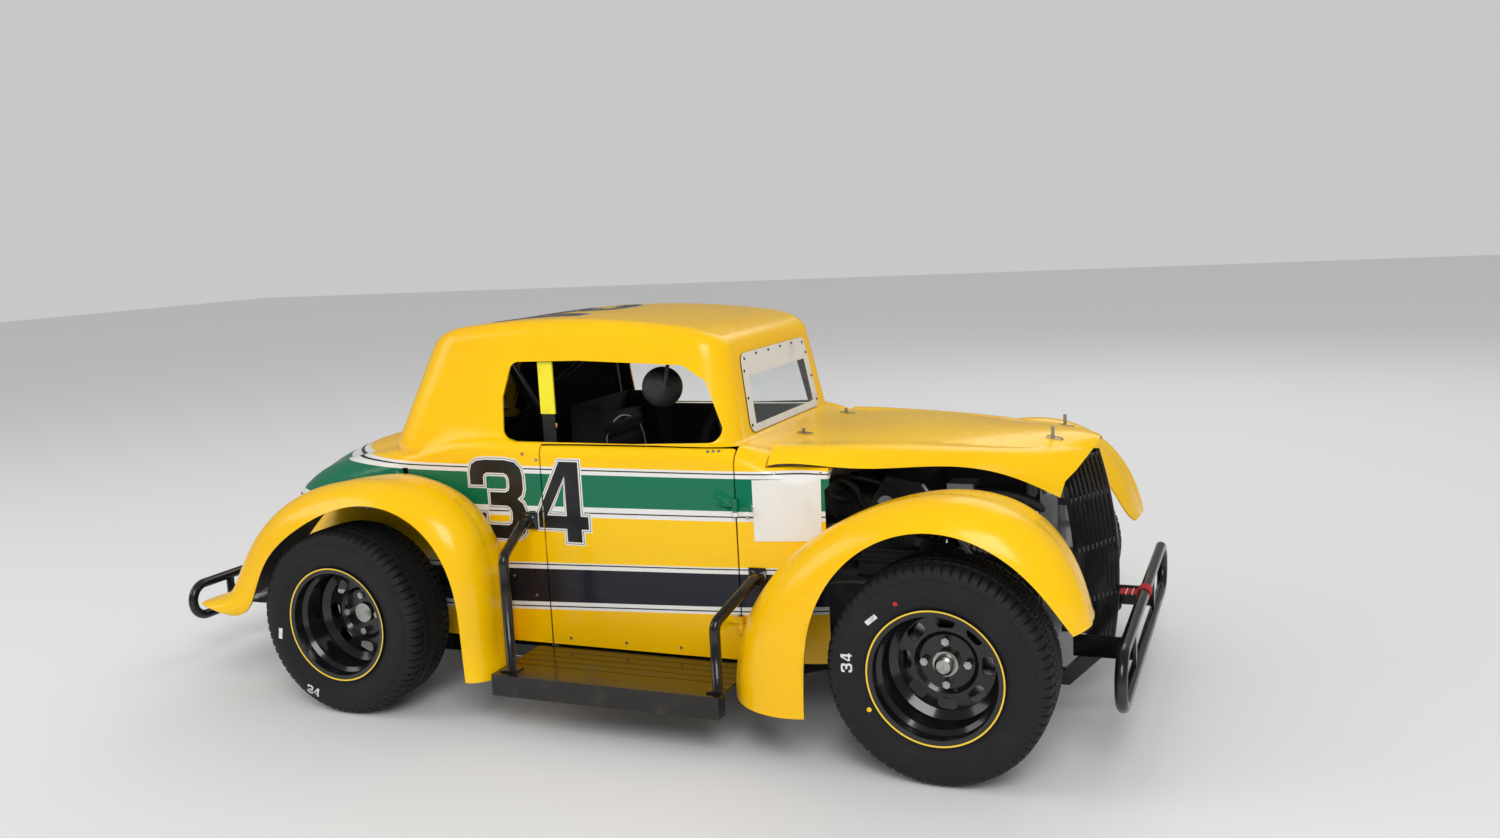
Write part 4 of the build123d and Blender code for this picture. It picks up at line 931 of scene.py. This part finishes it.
# Each run's radius, then its points
HOSES = (
    (0.010, (0.70, -0.24, 0.52), (0.705, -0.275, 0.60), (0.74, -0.285, 0.685),
     (0.80, -0.28, 0.68), (0.83, -0.24, 0.60)),
    (0.011, (0.71, -0.23, 0.46), (0.745, -0.285, 0.50), (0.80, -0.295, 0.56),
     (0.86, -0.285, 0.60), (0.90, -0.23, 0.62)),
    (0.006, (0.69, -0.20, 0.66), (0.76, -0.27, 0.695), (0.86, -0.275, 0.69), (0.93, -0.23, 0.65)),
    (0.005, (0.68, -0.20, 0.64), (0.70, -0.29, 0.665), (0.77, -0.30, 0.64), (0.80, -0.24, 0.62)),
    (0.017, (0.99, -0.14, 0.60), (1.06, -0.17, 0.635), (1.16, -0.19, 0.645),
     (1.26, -0.19, 0.635), (1.335, -0.17, 0.600)),
    (0.008, (0.98, -0.20, 0.52), (1.07, -0.235, 0.56), (1.16, -0.24, 0.60),
     (1.25, -0.225, 0.60), (1.33, -0.20, 0.55)),
    (0.015, (1.00, 0.05, 0.60), (1.08, 0.07, 0.66), (1.19, 0.10, 0.665), (1.30, 0.12, 0.62),
     (1.33, 0.12, 0.58)),
)
BRAIDS = (
    (0.0045, (0.665, -0.235, 0.40), (0.74, -0.30, 0.455), (0.812, -0.31, 0.49),
     (0.79, -0.305, 0.548), (0.74, -0.29, 0.555), (0.715, -0.24, 0.50)),
    (0.0055, (0.66, -0.23, 0.34), (0.72, -0.30, 0.383), (0.84, -0.315, 0.400),
     (0.97, -0.30, 0.385), (1.08, -0.245, 0.36)),
)
# A black box where the bay lies in shade: painted shade, not a part of the car
BAY_SHADE_BOX = ((1.005, 0.02, 0.56), (1.25, 0.20, 0.688))
COOLANT_NECK = ((1.075, -0.236, 0.652), (1.150, -0.160, 0.676))
BELL_XS = (0.905, 0.965)
# A bell's two steps: how far out each reaches, and its radius
BELL_STEPS = ((-0.255, 0.021), (-0.268, 0.026))
bell_foot_y, bell_foot_z, bell_top_z = -0.236, 0.612, 0.616
# The two braces' feet and tops, then the radiator's filler neck
BRACES = (
    (Vector((1.155, -0.243, 0.452)), Vector((1.006, -0.238, 0.672))),
    (Vector((1.155, 0.243, 0.452)), Vector((1.006, 0.238, 0.672))),
)
brace_radius = 0.008
filler_foot = Vector((1.348, -0.205, 0.65))
filler_top = Vector((1.348, -0.205, 0.685))
filler_radius = 0.014
# The hoses' piece also holds the black box of painted shade
hose_and_shade_shape = bmesh.new()
add_block(hose_and_shade_shape, *BAY_SHADE_BOX)
for radius, *run in HOSES:
    add_hose(hose_and_shade_shape, run, radius)
smooth(finish_piece(hose_and_shade_shape, "bay_hoses_and_painted_shade", rubber_and_shade_black, "root"))
braid_shape = bmesh.new()
for radius, *run in BRAIDS:
    add_hose(braid_shape, run, radius)
smooth(finish_piece(braid_shape, "braided_lines", braid_steel, "root"))
bright_shape = bmesh.new()
for bell_x in BELL_XS:
    for reach, bell in BELL_STEPS:
        bell_foot = Vector((bell_x, bell_foot_y, bell_foot_z))
        add_rod(bright_shape, bell_foot, Vector((bell_x, reach, bell_top_z)), bell, 24)
for foot, top in BRACES:
    add_rod(bright_shape, foot, top, brace_radius)
add_block(bright_shape, *COOLANT_NECK)
add_rod(bright_shape, filler_foot, filler_top, filler_radius)
smooth(finish_piece(bright_shape, "bay_bright_parts", bare_alloy, "root"))

# Wheels: pressed-steel rims in gloss black enamel, each with a thin yellow line painted round
# its lip, held by nuts on turned steel hubs.
hub_bright = (0.52, 0.51, 0.48)
hub_dull = (0.30, 0.29, 0.27)
hub_steel = metal_or_paint(
    "hub_steel", hub_bright, hub_dull, roughness=0.30, metallic=1.0, scale=22.0, grain=0.0002
)
WHEELS = ("front_right", "front_left", "rear_right", "rear_left")
line_yellow = (0.95, 0.62, 0.02)
line_radii = (0.1722, 0.1762)
for wheel in WHEELS:
    low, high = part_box("rim_" + wheel)
    middle = (low + high) / 2
    rim_paint, rim_tree, rim_shader, rim_place = new_finish(
        "rim_paint_" + wheel, enamel_black, 0.16, coat=0.4, shine=0.4
    )
    centred = rim_tree.nodes.new("ShaderNodeMapping")
    centred.inputs["Location"].default_value = (-middle.x, 0, -middle.z)
    centred.inputs["Scale"].default_value = (1, 0, 1)
    rim_tree.links.new(rim_place, centred.inputs["Vector"])
    radius = rim_tree.nodes.new("ShaderNodeVectorMath")
    radius.operation = "LENGTH"
    rim_tree.links.new(centred.outputs["Vector"], radius.inputs[0])
    on_line = within(rim_tree, radius.outputs["Value"], *line_radii)
    rim_colour = between(rim_tree, on_line, enamel_black, line_yellow)
    rim_tree.links.new(rim_colour, rim_shader.inputs["Base Color"])
    dress(rim_paint, "rim_" + wheel)
    dress(hub_steel, "hub_" + wheel)

# Spring units: a damper body and rod with a coil spring between two collars, one at each wheel,
# bolted through an eye at each end. The front pair leans in from the lower arms to the towers.
SPRING_UNITS = (
    ("front", 1.155, (0.360, 0.1865), (0.236, 0.449)),
    ("rear", -0.759, (0.300, 0.275), (0.300, 0.626)),
)
spring_wire = 0.0055
spring_radius = 0.028
spring_turns = 7
turn_steps = 20
damper_length = 0.11
damper_radius = 0.018
rod_radius = 0.0075
collar_from_foot = 0.068
collar_from_top = 0.046
collar_height = 0.006
collar_radius = 0.0338
coil_from_foot = 0.0795
coil_from_top = 0.0515


def add_coil(shape, foot, top, radius, wire, turns):
    """A round-wire spring between two points, added to a bmesh."""
    along = top - foot
    ring = bmesh.ops.create_circle(shape, cap_ends=False, segments=8, radius=wire)["verts"]
    turn_up = Matrix.Rotation(math.pi / 2, 4, "X")
    bmesh.ops.transform(shape, matrix=Matrix.Translation((radius, 0, 0)) @ turn_up, verts=ring)
    edges = list({edge for point in ring for edge in point.link_edges})
    steps = turns * turn_steps
    before = set(shape.verts) - set(ring)
    bmesh.ops.spin(
        shape,
        geom=ring + edges,
        cent=(0, 0, 0),
        axis=(0, 0, 1),
        dvec=(0, 0, along.length / steps),
        angle=math.tau * turns,
        steps=steps,
        use_merge=False,
        use_duplicate=False,
    )
    coil = [point for point in shape.verts if point not in before]
    bmesh.ops.transform(shape, matrix=aimed(foot, along), verts=coil)
    bmesh.ops.holes_fill(shape, edges=[edge for edge in shape.edges if edge.is_boundary], sides=8)


damper_shape = bmesh.new()
coil_shape = bmesh.new()
for end, unit_x, (foot_y, foot_z), (top_y, top_z) in SPRING_UNITS:
    for sign in (-1, 1):
        foot = Vector((unit_x, sign * foot_y, foot_z))
        top = Vector((unit_x, sign * top_y, top_z))
        along = (top - foot).normalized()
        add_rod(damper_shape, foot, foot + along * damper_length, damper_radius)
        add_rod(damper_shape, foot + along * damper_length, top, rod_radius)
        for place in (collar_from_foot, (top - foot).length - collar_from_top):
            collar_foot, collar_top = foot + along * place, foot + along * (place + collar_height)
            add_rod(damper_shape, collar_foot, collar_top, collar_radius, 28)
        coil_foot = foot + along * coil_from_foot
        coil_top = top - along * coil_from_top
        add_coil(coil_shape, coil_foot, coil_top, spring_radius, spring_wire, spring_turns)
dampers = finish_piece(damper_shape, "damper_bodies", bare_alloy, "root")
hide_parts("coilovers")
smooth(finish_piece(coil_shape, "coil_springs", frame_enamel, "root"), None)

# Screws: small dark pan-head screws hold the windscreen, and rounder bright ones hold the body
# panels, the side bars' plates and the boards.
screw_head_radius = 0.0048
screw_head_height = 0.0022
screen_rake = math.radians(9.2)
screen_foot = Vector((0.512, 0, 0.812))
screen_up = Vector((-math.sin(screen_rake), 0, math.cos(screen_rake)))
screen_out = Vector((math.cos(screen_rake), 0, math.sin(screen_rake)))
screen_face = 0.0043
SCREEN_SCREWS = (
    (-0.262, 0.190), (-0.245, 0.225), (-0.150, 0.232), (-0.050, 0.232), (0.050, 0.232),
    (0.150, 0.232), (0.245, 0.225), (0.262, 0.190), (-0.280, 0.030), (0.280, 0.030),
    (-0.272, 0.110), (0.272, 0.110),
)
PANEL_SCREWS = (
    (-0.165, 0.777), (-0.118, 0.760), (0.446, 0.795), (0.462, 0.796), (0.478, 0.796),
    (-0.226, 0.397), (-0.150, 0.340), (0.150, 0.213), (0.330, 0.213), (-0.040, 0.213),
    (0.640, 0.735), (0.770, 0.735), (0.770, 0.520), (0.560, 0.610),
)
panel_head_radius = 0.005
panel_head_height = 0.0028
head_dome = 0.72


def add_screw(shape, place, out, radius, height):
    """A domed screw head with its rim rounded, on a surface, facing out."""
    made = bmesh.ops.create_cone(
        shape, cap_ends=True, segments=14, radius1=radius, radius2=radius * head_dome, depth=height
    )["verts"]
    bmesh.ops.transform(shape, matrix=aimed(place + out * height / 2, out), verts=made)


screen_screws = bmesh.new()
for across, rise in SCREEN_SCREWS:
    place = screen_foot + Vector((0, across, 0)) + screen_up * rise + screen_out * screen_face
    add_screw(screen_screws, place, screen_out, screw_head_radius, screw_head_height)
finish_piece(screen_screws, "screen_screws", film_finishes[film_black], "root")
bright_screws = {"root": bmesh.new(), "door_right": bmesh.new(), "door_left": bmesh.new()}
door_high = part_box("door_right")[1]
for side, sign in SIDES:
    for screw_x, screw_z in PANEL_SCREWS:
        on_door = door_edge_x < screw_x < door_high.x and screw_z < door_high.z
        carrier = "door_" + side if on_door else "root"
        start = Vector((screw_x, sign * film_start_y, screw_z))
        hit, out, _, _ = side_skin.ray_cast(start, Vector((0, -sign, 0)))
        if hit is not None:
            screws = bright_screws[carrier]
            add_screw(screws, hit, out, panel_head_radius, panel_head_height)
for carrier, shape in bright_screws.items():
    finish_piece(shape, "panel_screws_" + carrier, hub_steel, carrier)

# Tyres: road rubber on a moulded carcass, with four grooves round the tread, cuts across its
# ribs and a thin rib round the side wall where the tread ends. Each is seated on its rim.
# The profile gives millimetres along the axle, then from the axle
TYRE_PROFILE = (
    (0, 288), (11, 288), (12, 281.5), (18, 281.5), (19, 287.9), (42, 287.5), (43.5, 281),
    (50, 281), (51.5, 287), (76, 285.2), (84, 281.6), (90, 276.5), (94.5, 270), (97, 262),
    (99, 253), (101.2, 251.5), (101.8, 247), (102.4, 238), (102.3, 229), (101, 216), (98.7, 204),
    (97.6, 202.5), (96.4, 199), (94, 188), (93, 182), (91.5, 178.8), (90, 174), (89, 164.6),
)
tyre_steps = 432
tread_from = 0.268
# Across the tread, in millimetres: a rib between two grooves, its middle, and the shoulder
rib_from, rib_middle, rib_to = 18.5, 30, 42.5
shoulder_from = 51
cut_pitch = 6
cut_depth = 0.0045
shoulder_cut_depth = 0.006
tyre_sharp_angle = 34
tread_black = (0.012, 0.012, 0.013)
tread_dust = (0.022, 0.021, 0.02)
tyre_rubber = metal_or_paint(
    "tyre_rubber", tread_black, tread_dust, roughness=0.6, scale=9.0, grain=0.0005, shine=0.28
)


def tyre_shape(axle):
    """One tyre about its axle: the profile spun round, then cut across its ribs."""
    rows = [(-across, out) for across, out in reversed(TYRE_PROFILE[1:])] + list(TYRE_PROFILE)
    outline = [(0, across / 1000, out / 1000) for across, out in rows]
    shape = spun(outline, (0, 1, 0), tyre_steps, ring=True)
    for point in shape.verts:
        out = math.hypot(point.co.x, point.co.z)
        if out < tread_from:
            continue
        across = abs(point.co.y * 1000)
        step = round(math.atan2(point.co.x, point.co.z) / math.tau * tyre_steps)
        rib_step = step + (cut_pitch // 2 if across > rib_middle else 0)
        deep = 0
        if across > shoulder_from and step % cut_pitch == 0:
            deep = shoulder_cut_depth
        elif rib_from < across < rib_to and rib_step % cut_pitch == 0:
            deep = cut_depth
        if deep:
            point.co.x *= (out - deep) / out
            point.co.z *= (out - deep) / out
    bmesh.ops.recalc_face_normals(shape, faces=shape.faces)
    bmesh.ops.translate(shape, verts=shape.verts, vec=axle)
    return shape


for wheel in WHEELS:
    low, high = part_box("tyre_" + wheel)
    shape = tyre_shape((low + high) / 2)
    tyre = finish_piece(shape, "road_tyre_" + wheel, tyre_rubber, "wheel_" + wheel)
    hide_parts("tyre_" + wheel)
    smooth(tyre, tyre_sharp_angle)

# Marks on the right-hand tyres: the race number in chalk, small and turned, a bare label and the
# two paint dots that a tyre wears when new. All are thin film on the side wall.
chalk_white = (0.75, 0.75, 0.73)
chalk_worn = (0.45, 0.45, 0.44)
paint_red = (0.5, 0.02, 0.02)
paint_dull = (0.3, 0.02, 0.02)
chalk_film = metal_or_paint(
    "chalk", chalk_white, chalk_worn, roughness=0.9, scale=60.0, grain=0.0002
)
dot_yellow = metal_or_paint(
    "dot_yellow", line_yellow, deep_yellow, roughness=0.7, scale=40.0, grain=0.0001
)
dot_red = metal_or_paint("dot_red", paint_red, paint_dull, roughness=0.7, scale=40.0, grain=0.0001)
mark_scale = 0.12
mark_lift = 0.0006
mark_start_y = -0.8
label_size = (0.034, 0.013, 1)
dot_radius = 0.006
# Each mark: its wheel, its digit or finish where it has one, its place, and its turn
MARKS = (
    ("front_right", "3", 0.930, 0.300, math.pi / 2),
    ("front_right", "4", 0.930, 0.328, math.pi / 2),
    ("rear_right", "3", -0.822, 0.074, -0.35),
    ("rear_right", "4", -0.797, 0.066, -0.35),
)
LABELS = (("front_right", 0.999, 0.430, 0.70), ("rear_right", -0.916, 0.246, 1.45))
DOTS = (("front_right", 1.063, 0.475, dot_red), ("front_right", 0.984, 0.192, dot_yellow))


def mark_on_tyre(shape, wheel, x, z, turn, finish, name):
    """Turns a flat mark, lays it on a tyre's outer side wall and lets it turn with the wheel."""
    turned = Matrix.Rotation(turn, 3, "Z")
    bmesh.ops.rotate(shape, verts=shape.verts, cent=(0, 0, 0), matrix=turned)
    facing = Matrix(((1, 0, 0), (0, 0, -1), (0, 1, 0))).to_4x4()
    bmesh.ops.transform(shape, matrix=facing, verts=shape.verts)
    bmesh.ops.translate(shape, verts=shape.verts, vec=(x, mark_start_y, z))
    wall = skin_under(bpy.data.objects["road_tyre_" + wheel])
    lay_film(shape, wall, Vector((0, 1, 0)), mark_lift)
    finish_piece(shape, name, finish, "wheel_" + wheel)


for wheel, digit, x, z, turn in MARKS:
    chalk = digit_shape(digit, 0)
    bmesh.ops.scale(chalk, verts=chalk.verts, vec=(mark_scale, mark_scale, 1))
    mark_on_tyre(chalk, wheel, x, z, turn, chalk_film, f"chalk_{wheel}_{digit}")
for wheel, x, z, turn in LABELS:
    label = bmesh.new()
    bmesh.ops.create_grid(label, x_segments=4, y_segments=2, size=0.5)
    bmesh.ops.scale(label, verts=label.verts, vec=label_size)
    mark_on_tyre(label, wheel, x, z, turn, chalk_film, "label_" + wheel)
for number, (wheel, x, z, finish) in enumerate(DOTS, 1):
    dot = bmesh.new()
    bmesh.ops.create_circle(dot, cap_ends=True, segments=20, radius=dot_radius)
    mark_on_tyre(dot, wheel, x, z, 0, finish, f"dot_{wheel}_{number}")

# Cable ties: two ties of white nylon, pulled tight and cut short, hold the tow strap's run flat
# on the bumper's tube.
TIE_XS = (1.535, 1.552)
tie_half_width = 0.001
tie_half_length = 0.0262
tie_low_z, tie_high_z = 0.3230, 0.3280
tie_shape = bmesh.new()
for tie_x in TIE_XS:
    low = (tie_x - tie_half_width, -tie_half_length, tie_low_z)
    high = (tie_x + tie_half_width, tie_half_length, tie_high_z)
    add_block(tie_shape, low, high)
finish_piece(tie_shape, "strap_ties", film_finishes[film_white], "root")
